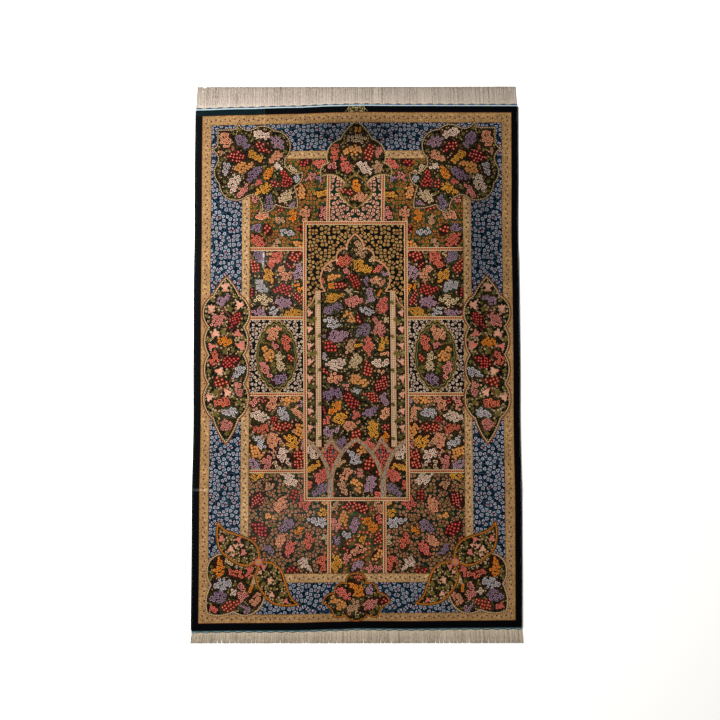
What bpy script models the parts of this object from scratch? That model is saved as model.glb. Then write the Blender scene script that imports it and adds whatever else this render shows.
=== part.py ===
"""A knotted silk rug with its woven ends and fringes, lying flat on a floor.

+X runs across the rug, +Y along it towards the pointed end of the niche, +Z up, all in metres.
The origin lies on the floor under the middle of the whole outline, fringes included.
"""
import math

import bmesh
import bpy
from mathutils import Matrix

# Driving sizes, in metres
PILE_WIDTH = 1.000          # across both side cords
PILE_LENGTH = 1.595         # along the knotted pile
RUG_THICKNESS = 0.0040      # foundation and clipped pile together
CORD_DIAMETER = 0.0040      # overcast side cord
WOVEN_END = 0.0075          # flat-woven strip outside the last row of knots
WOVEN_THICKNESS = 0.0018
SCALLOP_PITCH = 0.0325      # the fringe is bound in bunches of this width
SCALLOP_DEPTH = 0.0012
TOP_REACH = 0.863           # from the middle of the pile to the cut ends of the top fringe
BOTTOM_REACH = 0.841        # the same at the bottom
TOP_SPREAD = 0.993          # width at the cut ends, against the width at the root
BOTTOM_SPREAD = 1.008
FRINGE_THICKNESS = 0.0020
LOCK_PITCH = SCALLOP_PITCH / 2    # one tooth of the comb
SLIT_WIDTH = 0.0016         # between two teeth, at their cut ends
GAP = 0.0003                # left between neighbouring pieces
GRID_ACROSS = 0.025         # spacing of the grid lines that carry the outline and the folds
GRID_ALONG = 0.058
CORD_CORNERS = 8            # sides of a side cord's section

HALF_WIDTH = PILE_WIDTH / 2
HALF_LENGTH = PILE_LENGTH / 2
STRAY_FROM_X = 0.35         # the edges' unevenness dies out inside these distances
STRAY_FROM_Y = 0.60
PILE_MIDDLE = (BOTTOM_REACH - TOP_REACH) / 2    # where the middle of the pile lies along Y
BODY_HALF_WIDTH = HALF_WIDTH - CORD_DIAMETER - GAP
END_HALF_WIDTH = HALF_WIDTH - 0.0015            # of the flat-woven strips and the fringe roots
TEETH = round(2 * END_HALF_WIDTH / LOCK_PITCH)
ROOT_STEPS = TEETH * 3      # straight runs along one scalloped edge
MM = 0.001

# How far the side edges stray outwards, in millimetres, by the distance from the pile's middle
SIDE_DRIFT = (
    # along, left, right
    (-800, 1.0, -1.0),
    (-600, 0.5, 0.5),
    (-420, 1.0, 1.5),
    (-180, -2.0, -1.0),
    (0, -0.5, 0.5),
    (220, 0.5, 0.0),
    (400, -0.5, -2.0),
    (620, 0.5, 0.5),
    (800, 0.0, 1.5),
)
# How far the two ends of the pile stray towards the top, in millimetres
END_DRIFT = (
    # across, top, bottom
    (-500, -10.0, -5.5),
    (-350, -6.0, -4.0),
    (-200, -2.0, -3.5),
    (-60, 3.0, 0.0),
    (0, 4.5, 2.5),
    (150, 3.5, 1.5),
    (350, 3.0, 3.5),
    (500, 2.5, 4.5),
)
# Soft ridges left by folding, in metres from the pile's middle; the first two run along the rug,
# from one distance to another, and the last two run across it
ALONG_RIDGES = (
    # across, height, half width, start, end
    (-0.285, 0.0012, 0.030, -0.100, 0.900),
    (0.226, 0.0010, 0.030, -0.050, 0.900),
)
ACROSS_RIDGES = (
    # along, height, half width
    (0.314, 0.0014, 0.034),
    (-0.382, 0.0012, 0.034),
)
RIDGE_FADE = 0.15           # over which a ridge along the rug dies out


def between_rows(table, column, at):
    """The value of one column, eased from row to row."""
    at = at / MM
    if at <= table[0][0]:
        return table[0][column] * MM
    for low, high in zip(table, table[1:]):
        if at <= high[0]:
            t = (at - low[0]) / (high[0] - low[0])
            t = t * t * (3 - 2 * t)
            return (low[column] + (high[column] - low[column]) * t) * MM
    return table[-1][column] * MM


def hump(distance, half_width):
    """1 on a ridge's line, falling softly to 0 at its half width."""
    t = min(1.0, abs(distance) / half_width)
    return (1 - t * t) ** 2


def lift(x, y):
    """How far the folds raise the cloth above the floor; y is from the pile's middle."""
    height = 0.0
    for across, top, half_width, start, end in ALONG_RIDGES:
        fade = min(1.0, max(0.0, (y - start) / RIDGE_FADE), max(0.0, (end - y) / RIDGE_FADE))
        height = max(height, top * hump(x - across, half_width) * fade)
    for along, top, half_width in ACROSS_RIDGES:
        height = max(height, top * hump(y - along, half_width))
    return height


def side_line(side, y):
    """The outer edge of the rug; side is -1 at the left and 1 at the right."""
    column = 1 if side < 0 else 2
    return side * (HALF_WIDTH + between_rows(SIDE_DRIFT, column, y))


def pile_end(end, x):
    """The edge of the knotted pile; end is 1 at the top and -1 at the bottom."""
    column = 1 if end > 0 else 2
    return end * HALF_LENGTH + between_rows(END_DRIFT, column, x)


def laid(x0, y0):
    """Where a point of a perfectly straight rug lies on this one."""
    side = math.copysign(1, x0)
    end = math.copysign(1, y0)
    pull_x = max(0.0, (abs(x0) - STRAY_FROM_X) / (HALF_WIDTH - STRAY_FROM_X))
    pull_y = max(0.0, (abs(y0) - STRAY_FROM_Y) / (HALF_LENGTH - STRAY_FROM_Y))
    x = x0 + pull_x * (side_line(side, y0) - side * HALF_WIDTH)
    y = y0 + pull_y * (pile_end(end, x0) - end * HALF_LENGTH)
    return x, y


def woven_edge(end, x):
    """The scalloped outer edge of the flat-woven strip."""
    wave = SCALLOP_DEPTH * math.cos(2 * math.pi * x / SCALLOP_PITCH)
    return pile_end(end, x) + end * (WOVEN_END + wave)


def grid_lines(reach, step, ridges):
    """Even lines from -reach to reach, with closer ones over each ridge."""
    count = round(2 * reach / step)
    lines = [-reach + 2 * reach * i / count for i in range(count + 1)]
    for place, half_width in ridges:
        lines = [v for v in lines if abs(v - place) > half_width * 1.2]
        lines += [place + half_width * k / 3 for k in range(-3, 4)]
    return sorted(lines)


def finish(name, bm, colour, roughness):
    """Turn the bmesh into a named object with a material of its own."""
    bm.transform(Matrix.Translation((0, PILE_MIDDLE, 0)))
    bmesh.ops.recalc_face_normals(bm, faces=bm.faces)
    mesh = bpy.data.meshes.new(name)
    bm.to_mesh(mesh)
    bm.free()
    material = bpy.data.materials.new(name)
    material.use_nodes = True
    shader = material.node_tree.nodes["Principled BSDF"]
    shader.inputs["Base Color"].default_value = (*colour, 1)
    shader.inputs["Roughness"].default_value = roughness
    shader.inputs["Metallic"].default_value = 0
    mesh.materials.append(material)
    piece = bpy.data.objects.new(name, mesh)
    bpy.context.collection.objects.link(piece)
    return piece


def close_grid(bm, low, high):
    """Close two matching grids of corners, low and high, into one slab."""
    rows, columns = len(low), len(low[0])
    for i in range(rows - 1):
        for j in range(columns - 1):
            for layer in (low, high):
                bm.faces.new((layer[i][j], layer[i + 1][j], layer[i + 1][j + 1], layer[i][j + 1]))
    rim = [(i, 0) for i in range(rows)]
    rim += [(rows - 1, j) for j in range(1, columns)]
    rim += [(i, columns - 1) for i in range(rows - 2, -1, -1)]
    rim += [(0, j) for j in range(columns - 2, 0, -1)]
    for (i, j), (k, m) in zip(rim, rim[1:] + rim[:1]):
        bm.faces.new((low[i][j], low[k][m], high[k][m], high[i][j]))


def rug_body():
    """Foundation and pile in one slab, its outline and folds as uneven as they lie."""
    across = grid_lines(BODY_HALF_WIDTH, GRID_ACROSS, [(r[0], r[2]) for r in ALONG_RIDGES])
    along = grid_lines(HALF_LENGTH, GRID_ALONG, [(r[0], r[2]) for r in ACROSS_RIDGES])
    bm = bmesh.new()
    low, high = [], []
    for x0 in across:
        places = [laid(x0, y0) for y0 in along]
        low.append([bm.verts.new((x, y, lift(x, y))) for x, y in places])
        high.append([bm.verts.new((x, y, lift(x, y) + RUG_THICKNESS)) for x, y in places])
    close_grid(bm, low, high)
    return finish("rug_body", bm, (0.16, 0.10, 0.07), 0.6)


def side_cord(name, side):
    """The overcast cord down one side, a little flattened where it lies."""
    radius = CORD_DIAMETER / 2
    seat = radius * math.cos(math.pi / CORD_CORNERS)    # from its middle down to its flat side
    along = grid_lines(HALF_LENGTH, GRID_ALONG, [(r[0], r[2]) for r in ACROSS_RIDGES])
    bm = bmesh.new()
    rings = []
    for y0 in along:
        middle, y = laid(side * (HALF_WIDTH - radius), y0)
        ring = []
        for k in range(CORD_CORNERS):
            turn = 2 * math.pi * (k + 0.5) / CORD_CORNERS
            x = middle + radius * math.cos(turn)
            z = seat + radius * math.sin(turn) + lift(middle, y)
            ring.append(bm.verts.new((x, y, z)))
        rings.append(ring)
    for ring, after in zip(rings, rings[1:]):
        for k in range(CORD_CORNERS):
            m = (k + 1) % CORD_CORNERS
            bm.faces.new((ring[k], ring[m], after[m], after[k]))
    bm.faces.new(rings[0])
    bm.faces.new(rings[-1])
    return finish(name, bm, (0.01, 0.014, 0.03), 0.55)


def woven_end(name, end):
    """The flat-woven strip that holds the last row of knots."""
    bm = bmesh.new()
    low, high = [], []
    for i in range(ROOT_STEPS + 1):
        x = END_HALF_WIDTH * (2 * i / ROOT_STEPS - 1)
        inner = pile_end(end, x) + end * GAP
        outer = woven_edge(end, x) - end * GAP
        base = lift(x, inner)
        low.append([bm.verts.new((x, y, base)) for y in (inner, outer)])
        high.append([bm.verts.new((x, y, base + WOVEN_THICKNESS)) for y in (inner, outer)])
    close_grid(bm, low, high)
    return finish(name, bm, (0.42, 0.50, 0.52), 0.7)


def slit_share(index):
    """How far up the fringe the slit beside a tooth runs, uneven but always the same."""
    return 0.35 + 0.45 * ((index * 0.61803) % 1.0)


def fringe(name, end, reach, spread):
    """The warp ends as one comb: a scalloped root, teeth in locks and straight-cut tips."""
    tip = end * reach
    outline = []
    for i in range(TEETH + 1):
        x = END_HALF_WIDTH * (2 * i / TEETH - 1)
        if i in (0, TEETH):
            outline.append((x * spread, tip))
            continue
        share = slit_share(i)
        slit_end = tip + (woven_edge(end, x) - tip) * share
        outline.append((x * spread - SLIT_WIDTH / 2, tip))
        outline.append((x * (1 + (spread - 1) * (1 - share)), slit_end))
        outline.append((x * spread + SLIT_WIDTH / 2, tip))
    for i in range(ROOT_STEPS, -1, -1):
        x = END_HALF_WIDTH * (2 * i / ROOT_STEPS - 1)
        outline.append((x, woven_edge(end, x)))
    bm = bmesh.new()
    base = bm.faces.new([bm.verts.new((x, y, 0)) for x, y in outline])
    top = bmesh.ops.extrude_face_region(bm, geom=[base])["geom"]
    raised = [v for v in top if isinstance(v, bmesh.types.BMVert)]
    bmesh.ops.translate(bm, verts=raised, vec=(0, 0, FRINGE_THICKNESS))
    bmesh.ops.triangulate(bm, faces=[f for f in bm.faces if len(f.verts) > 4])
    return finish(name, bm, (0.62, 0.55, 0.46), 0.6)


def build():
    for old in list(bpy.data.objects):
        bpy.data.objects.remove(old, do_unlink=True)
    rug_body()
    side_cord("selvedge_left", -1)
    side_cord("selvedge_right", 1)
    woven_end("kilim_top", 1)
    woven_end("kilim_bottom", -1)
    fringe("fringe_top", 1, TOP_REACH, TOP_SPREAD)
    fringe("fringe_bottom", -1, BOTTOM_REACH, BOTTOM_SPREAD)


build()
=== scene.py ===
# %% [markdown]
# # A knotted silk rug, laid flat
#
# The real thing is one cloth: silk knots tied row by row on silk warps, sheared short, with a dark
# overcast cord down each side, a flat-woven strip at each end and the warp ends left as a fringe.
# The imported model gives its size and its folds. This script gives it the pattern, the silk and the
# yarn. It could all be one plane with a picture on it, but a picture has one sharpness and no shape,
# so the pattern is cut into the pile as an inlay of small faces, the way a weaver fills in a drawing.

# %% Load the frame
import math
import random

import bpy
import numpy as np
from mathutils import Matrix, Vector
from mathutils.geometry import delaunay_2d_cdt


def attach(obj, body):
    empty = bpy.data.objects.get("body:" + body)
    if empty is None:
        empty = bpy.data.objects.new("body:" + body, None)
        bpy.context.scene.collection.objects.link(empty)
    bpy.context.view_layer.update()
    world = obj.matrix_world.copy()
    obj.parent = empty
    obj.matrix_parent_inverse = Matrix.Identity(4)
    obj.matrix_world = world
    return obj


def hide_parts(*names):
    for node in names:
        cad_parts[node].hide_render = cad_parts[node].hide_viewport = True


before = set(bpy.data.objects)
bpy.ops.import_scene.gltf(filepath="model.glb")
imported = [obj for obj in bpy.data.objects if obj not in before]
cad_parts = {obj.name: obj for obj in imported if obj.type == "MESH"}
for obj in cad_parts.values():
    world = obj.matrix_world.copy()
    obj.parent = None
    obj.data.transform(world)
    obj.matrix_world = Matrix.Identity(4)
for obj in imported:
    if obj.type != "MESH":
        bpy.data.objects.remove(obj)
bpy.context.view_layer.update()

# %% [markdown]
# A few small tools come first. Dyes are easiest to choose as the hex values that a paint program
# shows, but Blender mixes light, so one function turns them to linear values. Another adds a node to
# any tree, sets it up, feeds its inputs and hands back its outputs.

# %% Colours and nodes
MM = 0.001


def linear(hex_value):
    """An sRGB hex value as the linear red, green and blue that Blender works in."""
    channels = [int(hex_value[i:i + 2], 16) / 255 for i in (1, 3, 5)]
    return [c / 12.92 if c <= 0.04045 else ((c + 0.055) / 1.055) ** 2.4 for c in channels]


def rgba(hex_value):
    """The same as an opaque colour."""
    return (*linear(hex_value), 1)


def feed(node, feeds):
    """Link or set a node's inputs, in order or by name. A list goes into one input together, and of
    another node's outputs the first is taken."""
    for key, given in feeds.items() if isinstance(feeds, dict) else enumerate(feeds):
        for one in given if isinstance(given, list) else [given]:
            if isinstance(one, bpy.types.bpy_prop_collection):
                one = one[0]
            if isinstance(one, bpy.types.NodeSocket):
                node.id_data.links.new(one, node.inputs[key])
            elif one is not None:
                node.inputs[key].default_value = one


def add(tree, kind, feeds=(), **settings):
    """Add one node, set it up, feed its inputs, and return its outputs."""
    node = tree.nodes.new(kind)
    for name, value in settings.items():
        setattr(node, name, value)
    feed(node, feeds)
    return node.outputs


# What a mesh carries for its finish, and the output of an Attribute node that reads it
CARRIED = {"dye": "Color", "accent": "Color", "leafy": "Color", "heart": "Color", "weave": "Vector",
           "grain": "Vector", "form": "Vector", "size": "Fac", "tone": "Fac", "along": "Fac"}


def new_material(name):
    """An empty material, with its tree and its shader."""
    material = bpy.data.materials.new(name)
    material.use_nodes = True
    return material, material.node_tree, material.node_tree.nodes["Principled BSDF"]


def put(name, data):
    """A new object in the scene."""
    thing = bpy.data.objects.new(name, data)
    bpy.context.collection.objects.link(thing)
    return thing


DYES = {
    "night": "#030406", "soot": "#0b0706", "umber": "#22130d", "pine": "#12261a", "moss": "#20301a",
    "gold": "#b48c5c", "brass": "#a88850", "straw": "#c39d6d", "cream": "#d6ba8a", "ivory": "#cdb8a0",
    "sand": "#c2a479", "wheat": "#d8b48c", "tan": "#b08860", "olive": "#6a5c28", "bronze": "#927032",
    "leaf": "#4c4622", "sage": "#7c7a4c", "bark": "#6a3c26", "salmon": "#d2604c", "coral": "#c85a3c",
    "rose": "#c97464", "blush": "#dba084", "clay": "#ae7a58", "crimson": "#7e1c18", "garnet": "#9a200f",
    "ruby": "#7a1a1a", "scarlet": "#8e2a1a", "plum": "#43202e", "violet": "#7e6478", "lilac": "#967a88",
    "mist": "#a3a5a4", "slate": "#8a847e", "orange": "#d07a12", "amber": "#c8861e", "rust": "#98481e",
    "copper": "#b4702e", "flame": "#b04826", "peach": "#c88a64", "fern": "#1f4226", "ash": "#8a7c70",
    "navy": "#0a111b", "azure": "#34556c", "sky": "#a5b5bf", "cherry": "#a02036", "teal": "#061a1e",
    "dun": "#80663e",
}
DYE = {name: rgba(value) for name, value in DYES.items()}
print(len(DYE), "dyes")

# %% [markdown]
# The camera stands straight above, as for a catalogue: 3 m up, a 50 mm lens, tipped by about three
# degrees. The light is a broad soft box above the upper left corner, which is why the silk is
# brightest there and falls off towards the lower right, together with painted light and shade in the
# silk. The floor is plain and nearly white.

# %% Camera, light and floor
CAMERA_PLACE = (0.0100, -0.1719, 3.053)
CAMERA_TIP = (0.05676, 0.0, -0.00109)
KEY_PLACE = (-1.65, 0.80, 1.60)
KEY_TARGET = (-0.1, 0.1, 0)
KEY_SIZE = 0.9
KEY_POWER = 112             # watts
FILL_LIGHT = (1.0, 0.985, 0.965, 1)
FILL_STRENGTH = 0.63
FLOOR_DROP = 0.0002         # keeps the floor clear of the rug's underside
FLOOR_REACH = 30.0

camera = put("camera", bpy.data.cameras.new("camera"))
camera.data.lens = 50
camera.data.sensor_width = 36
camera.location = CAMERA_PLACE
camera.rotation_euler = CAMERA_TIP
bpy.context.scene.camera = camera
bpy.context.scene.view_settings.view_transform = "Standard"


def soft_box(name, place, target, size, power):
    """A square area light that faces a point."""
    light = put(name, bpy.data.lights.new(name, "AREA"))
    light.data.size = size
    light.data.energy = power
    light.location = place
    light.rotation_euler = (Vector(target) - Vector(place)).to_track_quat("-Z", "Y").to_euler()
    light.visible_camera = False


soft_box("key", KEY_PLACE, KEY_TARGET, KEY_SIZE, KEY_POWER)
world = bpy.data.worlds.new("studio")
world.use_nodes = True
feed(world.node_tree.nodes["Background"], {"Color": FILL_LIGHT, "Strength": FILL_STRENGTH})
bpy.context.scene.world = world

floor_mesh = bpy.data.meshes.new("floor")
signs = ((-1, -1), (1, -1), (1, 1), (-1, 1))
corners = [(FLOOR_REACH * x, FLOOR_REACH * y, -FLOOR_DROP) for x, y in signs]
floor_mesh.from_pydata(corners, [], [(0, 1, 2, 3)])
floor = put("floor", floor_mesh)
# Matt white lacquered board: no gloss, so the rug lies in an even pale field.
board, _, shader = new_material("matt_white_board")
feed(shader, {"Base Color": rgba("#fdfcfa"), "Roughness": 0.9})
floor_mesh.materials.append(board)
print("camera", CAMERA_PLACE, "light and floor in place")

# %% [markdown]
# No handmade rug is a true rectangle, and this one also keeps soft ridges where it was folded. The
# pattern is drawn on a perfectly straight rug and then laid: every point moves with the drift of the
# nearest edge and rises with the folds. The tables and formulas for the edges and folds are those of
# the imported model, so the cloth fills the model's outline. One more table moves only the pattern's
# middle, which was knotted a few millimetres out of true.

# %% How the rug lies
PILE_WIDTH = 1.000
PILE_LENGTH = 1.595
RUG_THICKNESS = 0.0040
CORD_DIAMETER = 0.0040
WOVEN_END = 0.0075
SCALLOP_PITCH = 0.0325
SCALLOP_DEPTH = 0.0012
TOP_REACH = 0.863
BOTTOM_REACH = 0.841
SPREAD = {1: 0.993, -1: 1.008}
GAP = 0.0003
HALF_WIDTH = PILE_WIDTH / 2
HALF_LENGTH = PILE_LENGTH / 2
STRAY_FROM_X = 0.35
STRAY_FROM_Y = 0.60
PILE_MIDDLE = (BOTTOM_REACH - TOP_REACH) / 2
END_HALF_WIDTH = HALF_WIDTH - 0.0015
SIDE_DRIFT = np.array([
    # along, left, right
    (-800, 1.0, -1.0),
    (-600, 0.5, 0.5),
    (-420, 1.0, 1.5),
    (-180, -2.0, -1.0),
    (0, -0.5, 0.5),
    (220, 0.5, 0.0),
    (400, -0.5, -2.0),
    (620, 0.5, 0.5),
    (800, 0.0, 1.5),
]) * MM
END_DRIFT = np.array([
    # across, top, bottom
    (-500, -10.0, -5.5),
    (-350, -6.0, -4.0),
    (-200, -2.0, -3.5),
    (-60, 3.0, 0.0),
    (0, 4.5, 2.5),
    (150, 3.5, 1.5),
    (350, 3.0, 3.5),
    (500, 2.5, 4.5),
]) * MM
MIDDLE_DRIFT = np.array([
    # along, across
    (-800, 0.0),
    (-400, 0.6),
    (-150, -1.5),
    (200, -4.0),
    (400, -4.2),
    (640, -1.0),
    (800, 0.0),
]) * MM
DRIFT_REACH = 0.33          # how far from the middle that drift dies out
ALONG_RIDGES = (
    # across, height, half width, start, end
    (-0.285, 0.0012, 0.030, -0.100, 0.900),
    (0.226, 0.0010, 0.030, -0.050, 0.900),
)
ACROSS_RIDGES = (
    # along, height, half width
    (0.314, 0.0014, 0.034),
    (-0.382, 0.0012, 0.034),
)
RIDGE_FADE = 0.15
RIDGES_ACROSS_MM = [(row[0] / MM, row[2] / MM) for row in ALONG_RIDGES]    # middle and half width
RIDGES_ALONG_MM = [(row[0] / MM, row[2] / MM) for row in ACROSS_RIDGES]


def between_rows(table, column, at):
    """The value of one column, eased from row to row."""
    at = np.clip(at, table[0, 0], table[-1, 0])
    row = np.clip(np.searchsorted(table[:, 0], at) - 1, 0, len(table) - 2)
    t = (at - table[row, 0]) / (table[row + 1, 0] - table[row, 0])
    t = t * t * (3 - 2 * t)
    return table[row, column] + (table[row + 1, column] - table[row, column]) * t


def hump(distance, half_width):
    """1 on a ridge's line, falling softly to 0 at its half width."""
    t = np.minimum(1.0, np.abs(distance) / half_width)
    return (1 - t * t) ** 2


def lift(x, y):
    """How far the folds raise the cloth above the floor; y is from the pile's middle."""
    height = np.zeros(np.broadcast(x, y).shape)
    for across, top, half_width, start, end in ALONG_RIDGES:
        fade = np.clip(np.minimum((y - start), (end - y)) / RIDGE_FADE, 0, 1)
        height = np.maximum(height, top * hump(x - across, half_width) * fade)
    for along, top, half_width in ACROSS_RIDGES:
        height = np.maximum(height, top * hump(y - along, half_width))
    return height


def pile_end(end, x):
    """The edge of the knotted pile; end is 1 at the top and -1 at the bottom."""
    return end * HALF_LENGTH + between_rows(END_DRIFT, 1 if end > 0 else 2, x)


def laid(x0, y0):
    """Where points of a perfectly straight rug lie on this one."""
    pull_x = np.clip((np.abs(x0) - STRAY_FROM_X) / (HALF_WIDTH - STRAY_FROM_X), 0, None)
    pull_y = np.clip((np.abs(y0) - STRAY_FROM_Y) / (HALF_LENGTH - STRAY_FROM_Y), 0, None)
    left = -between_rows(SIDE_DRIFT, 1, y0)
    right = between_rows(SIDE_DRIFT, 2, y0)
    top = between_rows(END_DRIFT, 1, x0)
    bottom = between_rows(END_DRIFT, 2, x0)
    held = 1 - np.clip(np.abs(x0) / DRIFT_REACH, 0, 1) ** 4
    bow = held * between_rows(MIDDLE_DRIFT, 1, y0)
    x = x0 + bow + pull_x * np.where(x0 < 0, left, right)
    return x, y0 + pull_y * np.where(y0 > 0, top, bottom)


print("highest fold", round(1000 * float(lift(np.array([-0.285]), np.array([0.314]))[0]), 2), "mm")

# %% [markdown]
# ## The cartoon
#
# Weavers work from a full-size drawing called a cartoon. Here it is a list of filled shapes in
# millimetres, with the middle of the pile as its origin. Each is laid over the ones before it. A zone,
# such as a border or a panel, covers what is under it. A motif belongs to a zone and is cut off at
# its edge, as on the real rug, where a flower at the rim of a panel is only half there.
# Round stretches of an outline are arcs: each row of a table gives a corner and how far the line to
# the next corner bulges to its left, as a share of half its length.

# %% The drawing board
EDGE_STEP = 18.0        # an outline is cut into lengths no longer than this, so it follows the folds
ARC_STEP = 7.0
cartoon = []            # one row for each shape


def paint(outline, silk, dyes, within=None, grain=(0, 0, 1, 0, 0), size=0.0, form=(0, 0, 0)):
    """Lay down one shape and return its number.

    grain is the place and direction its own pattern starts from, and how far along it is there;
    size is the pitch of its blossoms, or half the width of a band; form is what else its silk needs.
    """
    dyes = [DYE[name] for name in dyes]
    dyes += [dyes[-1]] * (4 - len(dyes))
    cartoon.append((outline, silk, dyes, within, grain, size, form))
    return len(cartoon) - 1


def arcs(rows, closed=True):
    """The points of an outline whose rows give x, y and the bulge of the line to the next row."""
    points = []
    pairs = list(zip(rows, rows[1:] + rows[:1])) if closed else list(zip(rows, rows[1:]))
    for (x0, y0, bulge), (x1, y1, _) in pairs:
        half = math.hypot(x1 - x0, y1 - y0) / 2
        points.append((x0, y0))
        if abs(bulge) < 0.02:
            continue
        steps = max(2, round(2 * half * (1 + bulge * bulge) / ARC_STEP))
        turn = 2 * math.atan(bulge)
        radius = half / math.sin(turn)
        rise = half / math.tan(turn)
        for k in range(1, steps):
            a = turn * (2 * k / steps - 1)
            s = radius * math.sin(a)
            h = radius * math.cos(a) - rise
            ux, uy = (x1 - x0) / (2 * half), (y1 - y0) / (2 * half)
            points.append(((x0 + x1) / 2 + ux * s - uy * h, (y0 + y1) / 2 + uy * s + ux * h))
    if not closed:
        points.append(rows[-1][:2])
    return points


def split_long(outline, step=EDGE_STEP):
    """The outline with its long sides cut into even lengths."""
    points = []
    for (x0, y0), (x1, y1) in zip(outline, outline[1:] + outline[:1]):
        pieces = max(1, math.ceil(math.hypot(x1 - x0, y1 - y0) / step))
        for k in range(pieces):
            points.append((x0 + (x1 - x0) * k / pieces, y0 + (y1 - y0) * k / pieces))
    return points


def both_sides(rows, middle=0.0):
    """A whole outline from the rows of its right half, listed from the top down."""
    left = []
    for (x, y, _), (_, _, bulge) in zip(rows[::-1], rows[-2::-1]):
        left.append((2 * middle - x, y, bulge))
    meets = abs(rows[-1][0] - middle) < 0.01
    return rows[:-1] + left if meets else rows + left


def box(left, right, low, high):
    return [(left, low), (right, low), (right, high), (left, high)]


def band(line, half_width, silk, dyes, closed=False, within=None):
    """A strip along a line, in short lengths that know how far along the strip they lie."""
    line = [Vector(p) for p in line]
    count = len(line)
    sides = []
    for i, p in enumerate(line):
        before = line[i - 1] if closed or i else None
        after = line[(i + 1) % count] if closed or i < count - 1 else None
        ahead = (after - p).normalized() if after is not None else (p - before).normalized()
        behind = (p - before).normalized() if before is not None else ahead
        along = (ahead + behind).normalized() if (ahead + behind).length > 0.3 else ahead
        across = Vector((-along.y, along.x)) * half_width
        across /= max(0.55, along.dot(ahead))
        sides.append((p + across, p - across))
    reached = 0.0
    for i in range(count if closed else count - 1):
        j = (i + 1) % count
        step = line[j] - line[i]
        if step.length < 0.01:
            continue
        way = step.normalized()
        quad = [sides[i][1][:], sides[j][1][:], sides[j][0][:], sides[i][0][:]]
        grain = (line[i].x, line[i].y, way.x, way.y, reached)
        paint(quad, silk, dyes, within, grain, half_width)
        reached += step.length


def ring(outer, inner, silk, dyes):
    """Four mitred strips between two rectangles, given as left, right, low and high."""
    left, right, low, high = outer
    left_in, right_in, low_in, high_in = inner
    sides = (
        ((left, low), (right, low), (right_in, low_in), (left_in, low_in), (1, 0)),
        ((right, low), (right, high), (right_in, high_in), (right_in, low_in), (0, 1)),
        ((right, high), (left, high), (left_in, high_in), (right_in, high_in), (-1, 0)),
        ((left, high), (left, low), (left_in, low_in), (left_in, high_in), (0, -1)),
    )
    for a, b, c, d, way in sides:
        middle = [(a[k] + b[k] + c[k] + d[k]) / 4 for k in (0, 1)]
        across = abs((c[0] - b[0]) * way[1] - (c[1] - b[1]) * way[0])
        paint([a, b, c, d], silk, dyes, grain=(*middle, *way, 0), size=across / 2)


def inside(outline, points):
    """Which points lie inside an outline."""
    x, y = np.asarray(points, float).T
    hit = np.zeros(len(x), bool)
    for (x0, y0), (x1, y1) in zip(outline, outline[1:] + outline[:1]):
        if y0 == y1:
            continue
        crosses = (y0 > y) != (y1 > y)
        hit ^= crosses & (x < (x1 - x0) * (y - y0) / (y1 - y0) + x0)
    return hit


print("drawing board ready")

# %% [markdown]
# The framework comes first: the dark edge, two gold guard stripes with a wide blue border of small
# blossoms between them, and a field cut into panels. Widths were read off the rug itself, edge by
# edge, and are the real ones to within a millimetre or two.

# %% Borders and panels
EDGE_OUT = (-495.7, 495.7, -797.5, 797.5)
GUARD_OUT = (-477.2, 478.8, -777.0, 778.0)
BLUE = (-448.0, 448.0, -751.5, 745.5)
GUARD_IN = (-353.0, 353.0, -660.0, 660.5)
FIELD = (-327.5, 327.5, -632.5, 635.0)
NICHE = (-155.4, 155.4, -410.0, 435.0)
CENTRE_PANEL = 84.0         # half the width of the middle panels at the top and the bottom
ROWS = (354.0, 141.0, -92.0, -326.0)    # the lattice lines across the side columns
LATTICE_HALF = 6.0

GROUNDS = {
    # ground, blossom, leaf and heart; pitch of the blossoms in mm; share of them that opens; how far
    # the middle of a blossom takes the colour of the leaves; how much smaller the blossoms are
    "blue": (("navy", "sky", "azure", "cherry"), 13.3, 1.0, 0.80, 0.045),
    "green": (("fern", "copper", "moss", "ruby"), 12.0, 1.0, 0.50, 0),
    "black": (("soot", "tan", "leaf", "cream"), 8.0, 0.55, 0.0, 0),
    "white": (("soot", "ivory", "umber", "scarlet"), 10.8, 1.0, 0.2, 0.03),
    "brown": (("umber", "blush", "leaf", "rust"), 10.0, 0.65, 0.3, 0),
    "lower": (("pine", "clay", "moss", "rust"), 11.5, 1.0, 0.4, 0),
    "red": (("fern", "flame", "olive", "blush"), 11.5, 0.90, 0.0, 0),
    "pink": (("pine", "blush", "moss", "scarlet"), 13.0, 1.0, 0.2, 0),
    "night": (("soot", "dun", "leaf", "cream"), 8.0, 0.45, 0.0, 0),
    "gold": (("soot", "brass", "umber", "flame"), 12.4, 1.0, 0.0, 0.03),
    "oval": (("pine", "olive", "moss", "rust"), 9.0, 0.70, 0.0, 0),
    "vine": (("soot", "sand", "leaf", "rust"), 8.5, 0.50, 0.0, 0),
    "strip": (("umber", "tan", "leaf", "clay"), 9.0, 0.50, 0.0, 0),
    "almond": (("navy", "salmon", "slate", "crimson"), 10.0, 1.0, 0.0, 0),
    "plate": (("soot", "sage", "gold", "cream"), 8.5, 1.0, 0.3, 0),
}


def field(outline, name):
    """Lay down a ground of small flowers and return its zone: the shape's number and outline."""
    dyes, pitch, share, sunken, smaller = GROUNDS[name]
    return paint(outline, "sprig", dyes, size=pitch, form=(share, sunken, smaller)), outline


edge_zone = paint(box(*EDGE_OUT), "plain", ("night",))
# Painted sheen: left of the first fold the same dark edge silk is painted dark teal, where it catches the
# light
paint(box(EDGE_OUT[0], ALONG_RIDGES[0][0] / MM, GUARD_OUT[3], EDGE_OUT[3]), "plain", ("teal",))
ring(GUARD_OUT, BLUE, "guard", ("gold", "plum", "bronze", "bark"))
field(box(*BLUE), "blue")
ring(GUARD_IN, FIELD, "guard", ("straw", "plum", "bronze", "bark"))
field(box(*FIELD), "black")

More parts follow.
